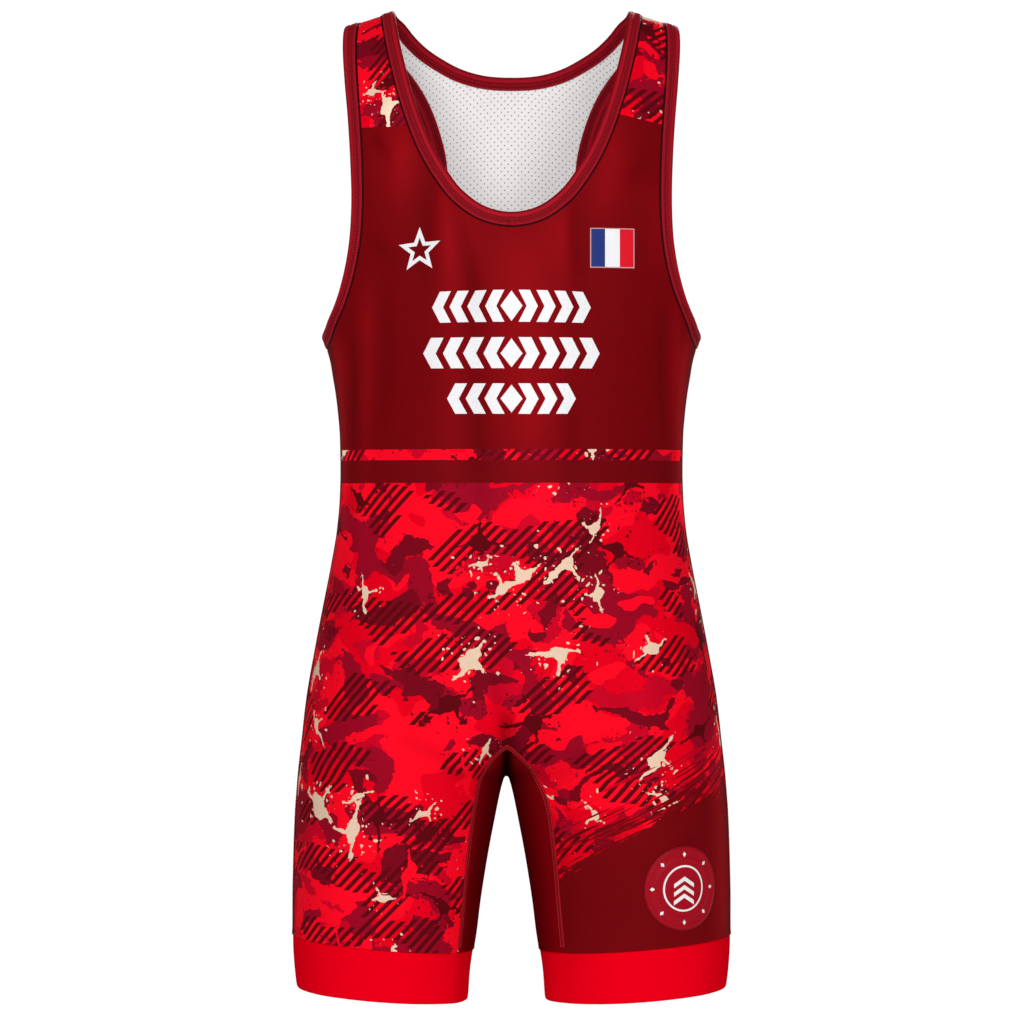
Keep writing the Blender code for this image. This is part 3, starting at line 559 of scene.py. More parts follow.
def inward(line, way, sign, side):
    """For each point of a line, the flat-pattern step that goes 1 mm square off it on the body."""
    _, across, along, normal = frame_on_body(line, sign)
    forward = across * way[:, :1] + along * way[:, 1:]
    goal = unit(np.cross(normal, forward) * side)
    steps = np.stack([across, along], 1)
    return np.linalg.solve(steps @ steps.transpose(0, 2, 1), steps @ goal[:, :, None])[:, :, 0]


def hem_run(x, top=True):
    """The cuff's upper or lower edge: a level line that drops slightly towards the inner leg."""
    level, rise = HEM_TOP if top else HEM_FOOT
    return level + rise * (np.abs(x) - 110.0) / 80.0


def gusset_line():
    """The gusset seam from its top to the cuff, as points of (x, run)."""
    line = smooth_line(GUSSET_SEAM, (0, 0.0), (1, GUSSET_SEAM[-1][1]))
    line = spaced(line[line[:, 1] > hem_run(HEM_SEAM_X) + 4], EDGE_STEP)
    return np.vstack([line, [(HEM_SEAM_X, hem_run(HEM_SEAM_X))]])


def flat_gusset_line(sign):
    """The same seam as points of (across, run)."""
    line = gusset_line()
    line[1:, 0] = across_of(line[1:, 1], around_of_x(line[1:, 1], line[1:, 0]), sign)
    return line


def panel_outline(sign):
    """A panel's cut edge, whose neck and arm edges lie inside the fold of the tape."""
    (neck, neck_way), (arm, arm_way) = (edge_lines(edge, EDGE_STEP)[sign] for edge in (NECK, ARM))
    neck = neck + inward(neck, neck_way, sign, -sign) * TUCK
    arm = arm + inward(arm, arm_way, sign, sign) * TUCK
    neck[0, 0] = 0.0
    for line, way in ((neck, neck_way[-1]), (arm, arm_way[-1])):
        line[-1] += way * (SHOULDER_RUN[sign] - line[-1, 1]) / way[1]
    top = spaced(np.array([neck[-1], arm[-1]]), NET)[1:-1]
    arm[0, 0] = half_at(arm[0, 1], sign)
    run = hem_run(190.0)
    for _ in range(4):
        run = float(hem_run(on_body(np.array([(half_at(run, sign), run)]), sign)[0, 0]))
    down = spaced(np.array([(0, arm[0, 1]), (0, run)]), EDGE_STEP)[:, 1]
    side = np.stack([half_at(down, sign), down], 1)
    seam = flat_gusset_line(sign)
    across = spaced(np.array([(side[-1, 0], 0.0), (seam[-1, 0], 0.0)]), EDGE_STEP)[1:-1, 0]
    hem = np.full(len(across), -814.0)
    for _ in range(4):
        hem = hem_run(on_body(np.stack([across, hem], 1), sign)[:, 0])
    right = np.vstack([neck, top, arm[::-1], side[1:], np.stack([across, hem], 1), seam[::-1]])
    left = right[::-1] * (-1, 1)
    return np.vstack([right, left[np.abs(left[:, 0]) > 1e-6]])


def gusset_arch(sign):
    """The gusset seam from hem to hem over its top, as a flat-pattern line."""
    half = spaced(flat_gusset_line(sign)[:-1], 2.5)
    return np.vstack([half[:0:-1] * (-1, 1), half])


def side_line():
    run = np.linspace(*SIDE_ENDS, 200)
    return np.stack([half_at(run, 1), run], 1)


def shoulder_line():
    """The shoulder seam between the inner edges of the two tapes."""
    neck, arm = (edge_lines(edge, EDGE_STEP)[1][0][-1, 0] for edge in (NECK, ARM))
    across = np.linspace(neck + TAPE_REACH, arm - TAPE_REACH, 14)
    return np.stack([across, np.full(len(across), SHOULDER_RUN[1])], 1)


# Meshes


def add_item(name, data, place=(0, 0, 0), turn=(0, 0, 0)):
    item = bpy.data.objects.new(name, data)
    item.location, item.rotation_euler = place, turn
    bpy.context.scene.collection.objects.link(item)
    return item


def make(name, part, materials, which=None, sharp=50, painted_shading=None):
    """A mesh object from (points, faces, uv), with one uv for each point. which is each face's material."""
    points, faces, uv = part
    mesh = bpy.data.meshes.new(name)
    mesh.from_pydata((placed(points) * MM).tolist(), [], faces.tolist(), shade_flat=False)
    for material in materials:
        mesh.materials.append(material)
    if which is not None:
        mesh.polygons.foreach_set("material_index", which.astype(np.int32))
    layer = mesh.uv_layers.new(name="Pattern")
    layer.uv.foreach_set("vector", (uv[faces.ravel()] * MM).astype(np.float32).ravel())
    # The painted light and shade of each point, which the materials read.
    if painted_shading is not None:
        lightness = mesh.attributes.new("PaintedLight", "FLOAT", "POINT")
        lightness.data.foreach_set("value", painted_shading.astype(np.float32))
    if mesh.validate():
        print(name, "had faults that validate mended")
    if sharp:
        mesh.set_sharp_from_angle(angle=math.radians(sharp))
    return add_item(name, mesh)


def joined(parts):
    """Several (points, faces, uv) as one."""
    points, faces, uvs = zip(*parts)
    starts = np.cumsum([0] + [len(some) for some in points[:-1]])
    faces = [some + start for some, start in zip(faces, starts)]
    return np.concatenate(points), np.concatenate(faces), np.concatenate(uvs)


def inside_outline(points, outline, margin):
    """Which points lie in a closed outline, at least `margin` from it."""
    a, b = outline, np.roll(outline, -1, axis=0)
    edge, kept = b - a, []
    for some in batches(points, 1500):
        crosses = (a[:, 1] > some[:, 1:2]) != (b[:, 1] > some[:, 1:2])
        with np.errstate(divide="ignore", invalid="ignore"):
            meet = a[:, 0] + (some[:, 1:2] - a[:, 1]) * edge[:, 0] / edge[:, 1]
        inside = ((some[:, :1] < meet) & crosses).sum(1) % 2 == 1
        share = ((some[:, None] - a) * edge).sum(2) / (edge**2).sum(1)
        nearest = a + np.clip(share, 0, 1)[:, :, None] * edge
        kept.append(inside & (np.linalg.norm(some[:, None] - nearest, axis=2).min(1) > margin))
    return np.concatenate(kept)


def net_of(outline):
    """Points and triangles that fill an outline, the outline's own points first."""
    low, high, row = outline.min(0), outline.max(0), NET * NET_ROW
    rows = np.arange(math.floor(low[1] / row), math.ceil(high[1] / row))
    columns = np.arange(math.floor(low[0] / NET) - 1, math.ceil(high[0] / NET) + 1)
    grid = np.array([((c + 0.5 * (r % 2)) * NET, r * row) for r in rows for c in columns])
    grid = grid[inside_outline(grid, outline, NET * NET_MARGIN)]
    flat = [Vector((float(x), float(y))) for x, y in np.vstack([outline, grid])]
    found = delaunay_2d_cdt(flat, [], [list(range(len(outline)))], 1, 1e-7)
    return np.array([tuple(v) for v in found[0]]), np.array([tuple(face) for face in found[2]])


def grid_faces(rows, columns, closed_rows, closed_columns=True):
    """Triangles of a grid of points, whose last row and column join its first where they are closed."""
    r, c = np.mgrid[: rows - (not closed_rows), : columns - (not closed_columns)]
    a, b = r * columns + c, r * columns + (c + 1) % columns
    d, e = (r + 1) % rows * columns + c, (r + 1) % rows * columns + (c + 1) % columns
    return np.concatenate([np.stack([a, b, e], -1).reshape(-1, 3), np.stack([a, e, d], -1).reshape(-1, 3)])


def fan(count):
    """Triangles that close a ring of points from its first one."""
    k = np.arange(1, count - 1)
    return np.stack([np.zeros_like(k), k, k + 1], 1)


def spindle(rings, count):
    """Triangles of a form whose points are one point, some rings of points and one point."""
    here, end = np.arange(count), 1 + rings * count
    after = (here + 1) % count
    first = np.stack([0 * here, after + 1, here + 1], 1)
    last = np.stack([0 * here + count, here, after], 1) + end - count
    return np.vstack([first, grid_faces(rings, count, False) + 1, last])


def outward(points, faces):
    """Faces of a closed mesh, turned round if they enclose less than nothing."""
    corners = points[faces]
    volume = np.einsum("ij,ij->i", corners[:, 0], np.cross(corners[:, 1], corners[:, 2])).sum()
    return faces if volume > 0 else faces[:, ::-1]


def places(x, y):
    """Pattern places of a grid of points, from its x and y, which may be one row or column."""
    return np.stack(np.broadcast_arrays(x, y), -1).reshape(-1, 2)


def swept(rings, x, y, closed=False):
    """A tube through rings of points, with flat ends where it is open."""
    points, count = rings.reshape(-1, 3), rings.shape[1]
    faces = grid_faces(len(rings), count, closed)
    if not closed:
        faces = np.vstack([faces, fan(count)[:, ::-1], fan(count) + len(points) - count])
    return points, outward(points, faces), places(x, y)


def cloth(name, points, normals, triangles, uv, materials, wall=CLOTH, top=0.0, painted_shading=None):
    """A thin closed shell: outer face, inner face and cut edge, whose materials are first, second, first."""
    count = len(points)
    ways = {(int(face[i]), int(face[(i + 1) % 3])) for face in triangles for i in range(3)}
    rim = [(a, b) for a, b in sorted(ways) if (b, a) not in ways]
    walls = np.array([face for a, b in rim for face in ((b, a, a + count), (b, a + count, b + count))])
    solid = np.vstack([points + normals * top, points + normals * (top - wall)])
    faces = outward(solid, np.vstack([triangles, triangles[:, ::-1] + count, walls]))
    which = np.repeat([0, 1, 0], [len(triangles), len(triangles), len(walls)])
    painted_shading = None if painted_shading is None else np.tile(painted_shading, 2)
    return make(name, (solid, faces, np.tile(uv, (2, 1))), materials, which, painted_shading=painted_shading)


# The pieces


def hem_flare(points, run):
    """The cloth stands off the cuff a little where it was cut and turned."""
    return FLARE * np.clip(1 - (run - hem_run(points[:, 0])) / FLARE_REACH, 0, 1) ** 2


def add_panel(name, sign, materials):
    flat, triangles = net_of(panel_outline(sign))
    points, normals = skin(flat, sign)
    points += normals * hem_flare(points, flat[:, 1])[:, None]
    return cloth(name, points, normals, triangles[:, ::sign], flat, materials, painted_shading=painted_light_of(flat, sign))


def strip(line, way, sign, side, depths, mirrored=False):
    """Points and normals on the cloth at distances off a line, one row for each point of the line."""
    step = inward(line, way, sign, side)
    flat = (line[:, None] + step[:, None] * np.array(depths)[None, :, None]).reshape(-1, 2)
    points, normals = skin(flat * (-1 if mirrored else 1, 1), sign)
    return np.array([points, normals]).reshape(2, len(line), len(depths), 3)


def neck_loop(depths):
    """Rows of the neck edge all the way round, front right first, each part without its last station."""
    lines = edge_lines(NECK, TAPE_STEP)
    fronts, backs = (
        [strip(*lines[sign], sign, -sign, depths, mirrored) for mirrored in (False, True)] for sign in (1, -1)
    )
    for part in fronts + backs:
        part[:, 0, :, 0] = 0.0
    parts = (fronts[0], backs[0][:, ::-1], backs[1], fronts[1][:, ::-1])
    return np.concatenate([part[:, :-1] for part in parts], axis=1)


def arm_loop(depths, mirrored=False):
    """Rows of the left arm edge all the way round, or of the right one where it is mirrored."""
    lines = edge_lines(ARM, TAPE_STEP)
    front, back = (strip(*lines[sign], sign, sign, depths, mirrored) for sign in (1, -1))
    return np.concatenate([front[:, :-1], back[:, :0:-1]], axis=1)


def other_arm_loop(depths):
    return arm_loop(depths, mirrored=True)


def tape_profile():
    """The folded tape's section as (distance from the edge, height)."""
    middle = -CLOTH / 2
    mirrored = [(depth, 2 * middle - height) for depth, height in TAPE_HALF[::-1]]
    outer = TAPE_HALF[:2] + TAPE_SHADOW_LIP + TAPE_HALF[3:]
    return np.array([(0.95, middle)] + outer + [(0.0, middle)] + mirrored)


def add_tape(name, loop_maker, material):
    profile = tape_profile()
    points, normals = loop_maker(profile[:, 0])
    ring = points + normals * profile[None, :, 1:2]
    part = swept(ring, profile[None, :, 0], lengths_of(ring[:, 0])[:, None], closed=True)
    return make(name, part, [material], sharp=60)


def tube_rings(points, normals, forward, radius, sides):
    """Rings of points round a path."""
    side = unit(np.cross(forward, normals))
    up = unit(np.cross(side, forward))
    turn = np.linspace(0, 2 * math.pi, sides, endpoint=False)
    radius = np.broadcast_to(radius, len(points))[:, None, None]
    return points[:, None] + radius * (
        np.cos(turn)[None, :, None] * side[:, None] + np.sin(turn)[None, :, None] * up[:, None]
    )


def stitches(points, normals, radius=0.36, sides=5):
    """A row of needle stitches along a path, each one a short loop of thread that dips into the cloth."""
    shares, heights, thickness = np.array(STITCH).T
    stages, length = len(shares), lengths_of(points)
    count = int(length[-1] / PITCH)
    place = ((np.arange(count)[:, None] + shares) * length[-1] / count).ravel()
    normal = unit(sampled(normals, length, place))
    spot = sampled(points, length, place) + normal * np.tile(heights, count)[:, None]
    forward = sampled(points, length, place + 0.1) - sampled(points, length, place - 0.1)
    rings = tube_rings(spot, normal, forward, radius * np.tile(thickness, count), sides)
    sheath = rings.reshape(count, stages, sides, 3)[:, 1:-1].reshape(count, -1, 3)
    spot = spot.reshape(count, stages, 3)
    each = np.concatenate([spot[:, :1], sheath, spot[:, -1:]], axis=1)
    number = np.arange(count)[:, None]
    faces = outward(each[0], spindle(stages - 2, sides)) + number[:, None] * each.shape[1]
    return each.reshape(-1, 3), faces.reshape(-1, 3), places(np.zeros(each.shape[:2]), number * PITCH)


def cover_thread(first, second, normals, radius=0.24, sides=4):
    """Thread that goes to and fro between two needle rows."""
    length = lengths_of(first)
    where = np.linspace(0, length[-1], int(length[-1] / PITCH) * 2 + 1)
    a, b, normal = (sampled(values, length, where) for values in (first, second, normals))
    odd = (np.arange(len(where)) % 2 == 1)[:, None]
    spot = np.where(odd, b, a) + normal * 0.12
    rings = tube_rings(spot, normal, np.gradient(spot, axis=0), radius, sides)
    return swept(rings, np.zeros((len(rings), sides)), where[:, None])


def add_tape_stitches(name, loop_maker, material):
    """Two needle rows and the cover thread between them, on both faces of a tape."""
    points, normals = loop_maker(NEEDLE_ROWS)
    points, normals = (np.concatenate([rows, rows[:1]]) for rows in (points, normals))
    above, over = TAPE_THREAD
    parts = []
    for height, way in ((above, 1), (-CLOTH - above, -1)):
        rows = [points[:, k] + normals[:, k] * height for k in range(2)]
        normal = normals[:, 0] * way
        parts += [stitches(row, normal) for row in rows]
        parts.append(cover_thread(rows[0] + normal * over, rows[1] + normal * over, normal))
    return make(name, joined(parts), [material], sharp=0)


def seam_parts(line, sign):
    """A flat seam's padded cover and its threads along a flat-pattern line."""
    offsets, heights = np.array(SEAM_FACE).T
    way = np.gradient(line, axis=0)
    points, normals = strip(line, way, sign, 1, offsets)
    ring = points + normals * heights[None, :, None]
    cover = swept(ring, offsets[None], lengths_of(ring[:, 4])[:, None])
    points, normals = strip(line, way, sign, 1, SEAM_ROWS)
    above, over = SEAM_THREAD
    rows = [points[:, k] + normals[:, k] * above for k in range(2)]
    normal = normals[:, 0]
    threads = [stitches(row, normal, radius=0.33) for row in rows]
    return cover, threads + [cover_thread(rows[0] + normal * over, rows[1] + normal * over, normal)]


def add_seam(name, lines, materials):
    """lines are (flat line, sign, mirrored). The cover takes the first material and the thread the second."""
    covers, threads = [], []
    for line, sign, mirrored in lines:
        cover, sewn = seam_parts(line, sign)
        for kind, found in ((covers, [cover]), (threads, sewn)):
            for points, faces, uv in found:
                if mirrored:
                    points, faces = points * (-1, 1, 1), faces[:, ::-1]
                kind.append((points, faces, uv))
    which = np.repeat([0, 1], [sum(len(part[1]) for part in kind) for kind in (covers, threads)])
    return make(name, joined(covers + threads), materials, which, sharp=0)


def valley(y, sign):
    """Height of the line between the legs at a depth from the middle."""
    runs = np.linspace(CROTCH, -600.0, 120)
    depth = np.abs(body(runs, sign * around_of_x(runs, 0.0))[:, 1])
    return np.interp(np.abs(y), depth, runs)


def inner_leg(y, z, sign):
    """The point of the inner leg at a depth and height."""
    _, _, _, front, back, square, _ = section(z)
    depth = np.abs(y) / np.where(sign < 0, back, front)
    around = 180.0 - np.degrees(np.arcsin(np.clip(depth, 0, 1) ** (square / 2)))
    return body(z, sign * around)


def gusset_ring(x, run, shares, sign):
    """Points from the seam point (x, run) to the middle of the inner leg, on front or back."""
    start = body(np.array([run]), sign * around_of_x(np.array([run]), np.array([x])))[0]
    down = np.clip((GUSSET_TOP - run) / SADDLE, 0, 1)
    end = run - (GUSSET_TOP - CROTCH) * (1 - down) ** 2
    y = start[1] * (1 - shares)
    sag = valley(y, sign) - (valley(start[1:2], sign) + (CROTCH - valley(start[1:2], sign)) * shares)
    points = inner_leg(y, run + (end - run) * shares + (1 - down) ** 2 * sag, sign)
    if run < SLANT_TOP:
        slant = hem_run(points[:, 0]) - hem_run(HEM_SEAM_X)
        drop = (run - SLANT_TOP) / (hem_run(HEM_SEAM_X) - SLANT_TOP)
        points = inner_leg(points[:, 1], run + slant * drop, sign)
    return points


def add_gusset(name, materials):
    shares = np.linspace(0, 1, 19)
    near = []
    for x, run in gusset_line():
        rows = [gusset_ring(max(x, 0), run, shares, sign) for sign in (1, -1)]
        near.append(np.vstack([rows[0], rows[1][-2::-1]]))
    near = np.array(near)
    near[0, :, 0] = 0.0
    grid = np.concatenate([near[:0:-1] * (-1, 1, 1), near])
    normals = unit(np.cross(np.gradient(grid, axis=0), np.gradient(grid, axis=1)))
    rows, columns = grid.shape[:2]
    normals *= -np.sign(normals[rows // 2, columns // 2, 2])
    leg = lengths_of(grid[:, columns // 2])
    around = np.cumsum(np.linalg.norm(np.diff(grid, axis=1, prepend=grid[:, :1]), axis=2), axis=1)
    points, normals = grid.reshape(-1, 3), normals.reshape(-1, 3)
    points = points + normals * hem_flare(points, points[:, 2])[:, None]
    # Painted light and shade: lighter towards the seams, and a painted shadow in the narrow gap below the
    # crotch
    from_seam = np.broadcast_to(1 - np.abs(np.linspace(-1, 1, columns)), (rows, columns)).ravel()
    near_seam = np.exp(-((from_seam / 0.24) ** 2))
    crotch_shadow = np.exp(-((points[:, 0] / 4.2) ** 2)) * smooth((points[:, 2] - CROTCH + 12) / 14)
    crotch_shadow *= smooth((GUSSET_TOP + 2 - points[:, 2]) / 8)
    painted_shading = np.exp(0.4 * near_seam - 0.02 - 2.8 * crotch_shadow)
    faces = grid_faces(rows, columns, False, False)
    return cloth(name, points, normals, faces, places(around, leg[:, None]), materials, painted_shading=painted_shading)


def add_cuff(name, mirrored, material, segments=176):
    """A doubled tube round the leg, folded at its lower edge, a little inside the panels' face."""
    around = np.linspace(-180, 180, segments, endpoint=False)
    turn = np.radians(around)
    wave = sum(depth * np.sin(times * turn + start) for depth, times, start in CUFF_WAVES)
    rings = []
    for share, up, inset in CUFF_FACE:
        run = np.full(segments, -840.0)
        for _ in range(4):
            x = body(run, around)[:, 0]
            top = hem_run(x)
            run = top + up + (hem_run(x, False) - top) * share
        # Wrapped at 180 degrees, so that each neighbour of the inner leg's middle lies on its own side.
        before, here, after = (body(run, (around + turned + 180) % 360 - 180) for turned in (-0.5, 0, 0.5))
        out = unit(np.cross(after - before, (0.0, 0.0, 1.0)))
        if np.einsum("ij,ij->i", out, here - here.mean(0)).sum() < 0:
            out = -out
        rings.append(here - out * (inset - wave * smooth(share / 0.5) * 0.7)[:, None])
    rows = np.array(rings)
    along = np.array([lengths_of(row) for row in rows])
    drop = lengths_of(rows[:, 0])[:, None]
    return make(name, swept(rows * (-1 if mirrored else 1, 1, 1), along, drop, closed=True), [material])


def add_flag(name, material):
    columns, rows = 31, 26
    x, y = np.linspace(-0.5, 0.5, columns), np.linspace(-0.5, 0.5, rows)
    grid = np.array([(a, b) for b in y for a in x])
    uv = grid * (FLAG["wide"], FLAG["tall"])
    points, normals = skin(flat_at(uv + (FLAG["x"], FLAG["z"]), 1), 1)
    edge = 1 - smooth((0.5 - np.abs(grid).max(1)) / 0.03)
    points = points - normals * (FLAG["pressed"] * edge)[:, None]
    faces = grid_faces(rows, columns, False, False)
    return cloth(name, points, normals, faces, uv, [material, material], FLAG["wall"], FLAG["top"])


def add_badge(name, material, segments=128):
    """A moulded disc that follows the thigh, with two raised rings on its face."""
    turn = np.linspace(0, 2 * math.pi, segments, endpoint=False)
    circle = np.stack([np.cos(turn), np.sin(turn)], 1)
    shares, heights = np.array(BADGE_FACE).T
    rings = [circle * share for share in shares]
    local = np.vstack([[(0, 0)], *rings, [(0, 0)]]) * BADGE["radius"]
    points, normals = skin(local + (BADGE["across"], BADGE["run"]), 1)
    height = np.concatenate([heights[:1], np.repeat(heights, segments), heights[-1:]])
    solid = points + normals * height[:, None]
    faces = outward(solid, spindle(len(shares), segments))
    return make(name, (solid, faces, local), [material], sharp=60)


# Materials: a short way to write shader arithmetic


def dye(red, green, blue):
    """The cloth's own colour for the colour it shows in the light, 0 to 255."""
    shown = np.array([red, green, blue]) / 255
    light = np.where(shown <= 0.04045, shown / 12.92, ((shown + 0.055) / 1.055) ** 2.4)
    return tuple(light / EXPOSURE) + (1.0,)


class Value:
    """A number or vector that the shader works out at each point. Masks are 0 or 1."""

    def __init__(self, graph, socket):
        self.graph, self.socket = graph, socket

    def between(self, low, high):
        return (self > low) & (self < high)

    def no(self):
        return self * -1.0 + 1.0

    def wave(self, period):
        return (self * (2 * math.pi / period)).sin()

    def step(self, low, high):
        """0 at low, 1 at high, smooth between."""
        inputs = {"Value": self, "From Min": low, "From Max": high}
        return self.graph.value("ShaderNodeMapRange", inputs, interpolation_type="SMOOTHSTEP")


def shader_math(operation):
    return lambda value, *others: value.graph.math(operation, value, *others)


for method, operation in {
    "__add__": "ADD", "__sub__": "SUBTRACT", "__mul__": "MULTIPLY", "__truediv__": "DIVIDE",
    "__lt__": "LESS_THAN", "__gt__": "GREATER_THAN", "__and__": "MINIMUM", "__or__": "MAXIMUM",
    "__abs__": "ABSOLUTE", "sin": "SINE", "cos": "COSINE", "floor": "FLOOR", "fract": "FRACT", "root": "SQRT",
    "folded": "PINGPONG", "angle": "ARCTAN2",
}.items():
    setattr(Value, method, shader_math(operation))


class Graph:
    """A material and the nodes that its shader is made of."""

    def __init__(self, name, roughness, specular=0.08):
        self.material = bpy.data.materials.new(name)
        self.material.use_nodes = True
        self.tree = self.material.node_tree
        self.shader = self.tree.nodes["Principled BSDF"]
        self.shader.inputs["Roughness"].default_value = roughness
        self.shader.inputs["Specular IOR Level"].default_value = specular

    def node(self, kind, inputs=(), **settings):
        node = self.tree.nodes.new(kind)
        for key, value in settings.items():
            setattr(node, key, value)
        for key, value in dict(inputs).items():
            self.put(node.inputs[key], value)
        return node

    def put(self, socket, value):
        if isinstance(value, Value):
            self.tree.links.new(value.socket, socket)
        else:
            socket.default_value = value

    def value(self, kind, inputs=(), output=0, **settings):
        return Value(self, self.node(kind, inputs, **settings).outputs[output])

    def math(self, operation, *values):
        return self.value("ShaderNodeMath", enumerate(values), operation=operation)

    def apart(self, value, kind="ShaderNodeSeparateXYZ"):
        """The parts of a vector or colour."""
        return [Value(self, part) for part in self.node(kind, {0: value}).outputs]

    def place(self):
        """across and run in millimetres."""
        return [part * 1000.0 for part in self.apart(self.value("ShaderNodeUVMap", uv_map="Pattern"))[:2]]

    def vector(self, *parts):
        return self.value("ShaderNodeCombineXYZ", enumerate(parts))

    def noise(self, x, y, z=0.0, detail=2.0, rough=0.5):
        inputs = {"Vector": self.vector(x, y, z), "Scale": 1.0, "Detail": detail, "Roughness": rough}
        return self.value("ShaderNodeTexNoise", inputs, "Fac")

    def cells(self, x, y, randomness=1.0):
        """Distance to the nearest scattered point, its x and y, and three random numbers of that point."""
        inputs = {"Vector": self.vector(x, y), "Scale": 1.0, "Randomness": randomness}
        found = self.node("ShaderNodeTexVoronoi", inputs, voronoi_dimensions="2D").outputs
        gap, colour, place = (Value(self, found[name]) for name in ("Distance", "Color", "Position"))
        return gap, self.apart(place)[:2], self.apart(colour, "ShaderNodeSeparateColor")

    def paint(self, under, over, mask):
        """One colour over another. Sockets 6 and 7 of the inputs and 2 of the outputs are the colours."""
        return self.value("ShaderNodeMix", {0: mask, 6: under, 7: over}, 2, data_type="RGBA")

    def shade(self, colour, amount):
        """A colour made darker or lighter."""
        colour = colour if isinstance(colour, Value) else colour[:3]
        return self.value("ShaderNodeVectorMath", {0: colour, "Scale": amount}, operation="SCALE")

    def finish(self, colour, height=None, distance=0.1, strength=1.0, roughness=None):
        self.put(self.shader.inputs["Base Color"], colour)
        if roughness is not None:
            self.put(self.shader.inputs["Roughness"], roughness)
        if height is not None:
            inputs = {"Distance": distance * MM, "Strength": strength, "Height": height}
            self.put(self.shader.inputs["Normal"], self.value("ShaderNodeBump", inputs))
        return self.material


def knit(u, v, pitch=1.5):
    """Height of the fine wales and courses, 0 to 1."""
    wale = (u * (2 * math.pi / pitch) + v.wave(pitch) * 0.6).sin()
    return (wale + v.wave(pitch * 0.8) * 0.6) * 0.25 + 0.5


def wear(g, u, v):
    """Slow unevenness of the dye, about 1."""
    return g.noise(u / 90, v / 90, 1.3, detail=3.0) * 0.16 + 0.92


def painted_light_at(g):
    """The painted light and shade kept with each point of a panel or the gusset."""
    return g.value("ShaderNodeAttribute", output="Fac", attribute_name="PaintedLight")


def torn(g, u, v, seed, periods, size, detail=2.0):
    """A shift of up to half of size either way, for a ragged edge."""
    return (g.noise(u / periods[0], v / periods[1], seed, detail) - 0.5) * size


def splashes(g, u, v, size, share, seed, ink, grow=1.0):
    """Thrown paint: a blot with three thinning arms and scattered drops.

    size is the cell in millimetres, share how many cells have one, ink how full it is, grow how large.
    """
    u = u + torn(g, u, v, seed + 0.5, (17, 17), 15.0) + torn(g, u, v, seed, (3.4, 3.4), 2.6)
    v = v + torn(g, u, v, seed + 4.5, (15, 15), 13.0) + torn(g, u, v, seed + 2, (3.1, 3.1), 2.6)
    a, b = u / size + seed * 7.31, v / size + seed * 3.17
    gap, (x, y), (first, second, third) = g.cells(a, b, 0.8)
    turn = first * (2 * math.pi)
    c, s = turn.cos(), turn.sin()
    dx, dy = (a - x) * (size / grow), (b - y) * (size / grow)
    p, q = dx * c + dy * s, dy * c - dx * s
    plump = second * 0.6 + 0.7
    blot = ((p * p) / 84.0 + (q * q) / 36.0) < plump * plump * ink
    for angle, reach, wide in ((0.35, 27.0, 3.4), (1.9, 18.0, 2.8), (3.6, 22.0, 2.2)):
        along = p * math.cos(angle) + q * math.sin(angle)
        aside = abs(q * math.cos(angle) - p * math.sin(angle))
        tip = plump * reach
        arm = (aside < ((along / tip).no() * wide + 0.45) * ink) & along.between(0.0, tip)
        to_knob = along - tip * 0.86
        knob = (to_knob * to_knob + aside * aside) < (second * 4.4 + 1.6) * ink
        blot = blot | arm | knob
    near, _, (size_of, keep, _) = g.cells(u / 4.6 + seed, v / 4.6)
    drops = (near < (size_of * size_of * 0.3 + 0.04)) & (keep > (gap * 1.1 + 0.5))
    return (blot | drops) & (third < share)


def hatch(g, u, v, amount):
    """Patches of slanting bars. Each bar is cut level at its own ends."""
    across_bars = u * math.sin(BAR_ANGLE) - v * math.cos(BAR_ANGLE)
    offset = across_bars - ((across_bars / BAR_PERIOD).floor() + 0.28) * BAR_PERIOD
    centre = u - offset / math.sin(BAR_ANGLE)
    patch = g.noise(centre / 68, (v - centre * 0.12) / 40, 4.1, detail=0.8, rough=0.4)
    ragged = g.noise(centre / 5, v / 5, 5.1, detail=1.0) * 0.03
    return ((across_bars / BAR_PERIOD).fract() < 0.53) & ((patch + ragged) > amount)


def camouflage(g, u, v):
    """Brushed blots in reds and crimsons under slanting bars and splashed cream."""
    wu, wv = u + torn(g, u, v, 2.2, (44, 38), 60.0, 1.5), v + torn(g, u, v, 8.2, (38, 44), 50.0, 1.5)
    torn_u, torn_v = wu + torn(g, u, v, 3.3, (8, 6), 11.0), wv + torn(g, u, v, 9.1, (7, 5), 9.0)
    near, _, (size_of, keep, _) = g.cells(u / 3.9 + 11.0, v / 3.9)
    spray = (near < (size_of * size_of * 0.34 + 0.05)) & (keep > 0.45)

    def field(wide, tall, seed, level):
        return g.noise(wu / wide, wv / tall, seed, 1.0) > level

    def blots(wide, tall, seed, level):
        place = g.noise(torn_u / wide, torn_v / tall, seed, 1.4)
        return (place > level) | (spray & (place > level - 0.045))

    bright, red = dye(250, 8, 34), dye(226, 0, 27)
    rose, crimson, deep, dark = dye(196, 4, 34), dye(150, 8, 33), dye(118, 8, 26), dye(92, 7, 17)
    cream, colour = dye(229, 198, 172), bright
    for shade, mask in (
        (red, field(62, 42, 1.7, 0.53)),
        (rose, blots(44, 30, 6.4, 0.60)),
        (crimson, blots(54, 36, 14.9, 0.565)),
        (bright, field(46, 28, 33.1, 0.63)),
        (deep, blots(44, 28, 21.6, 0.62)),
        (dark, hatch(g, u, v, 0.56)),
        (dark, splashes(g, u, v, 78.0, 0.55, 3.3, 0.8)),
        (bright, splashes(g, u, v, 86.0, 0.4, 5.7, 0.8)),
        (cream, splashes(g, u, v, 58.0, 0.42, 8.6, 0.9, 0.62)),
        (cream, splashes(g, u, v, 84.0, 0.72, 1.9, 1.05) & v.between(*THIN_STRIPE).no()),
    ):
        colour = g.paint(colour, shade, mask)
    return colour


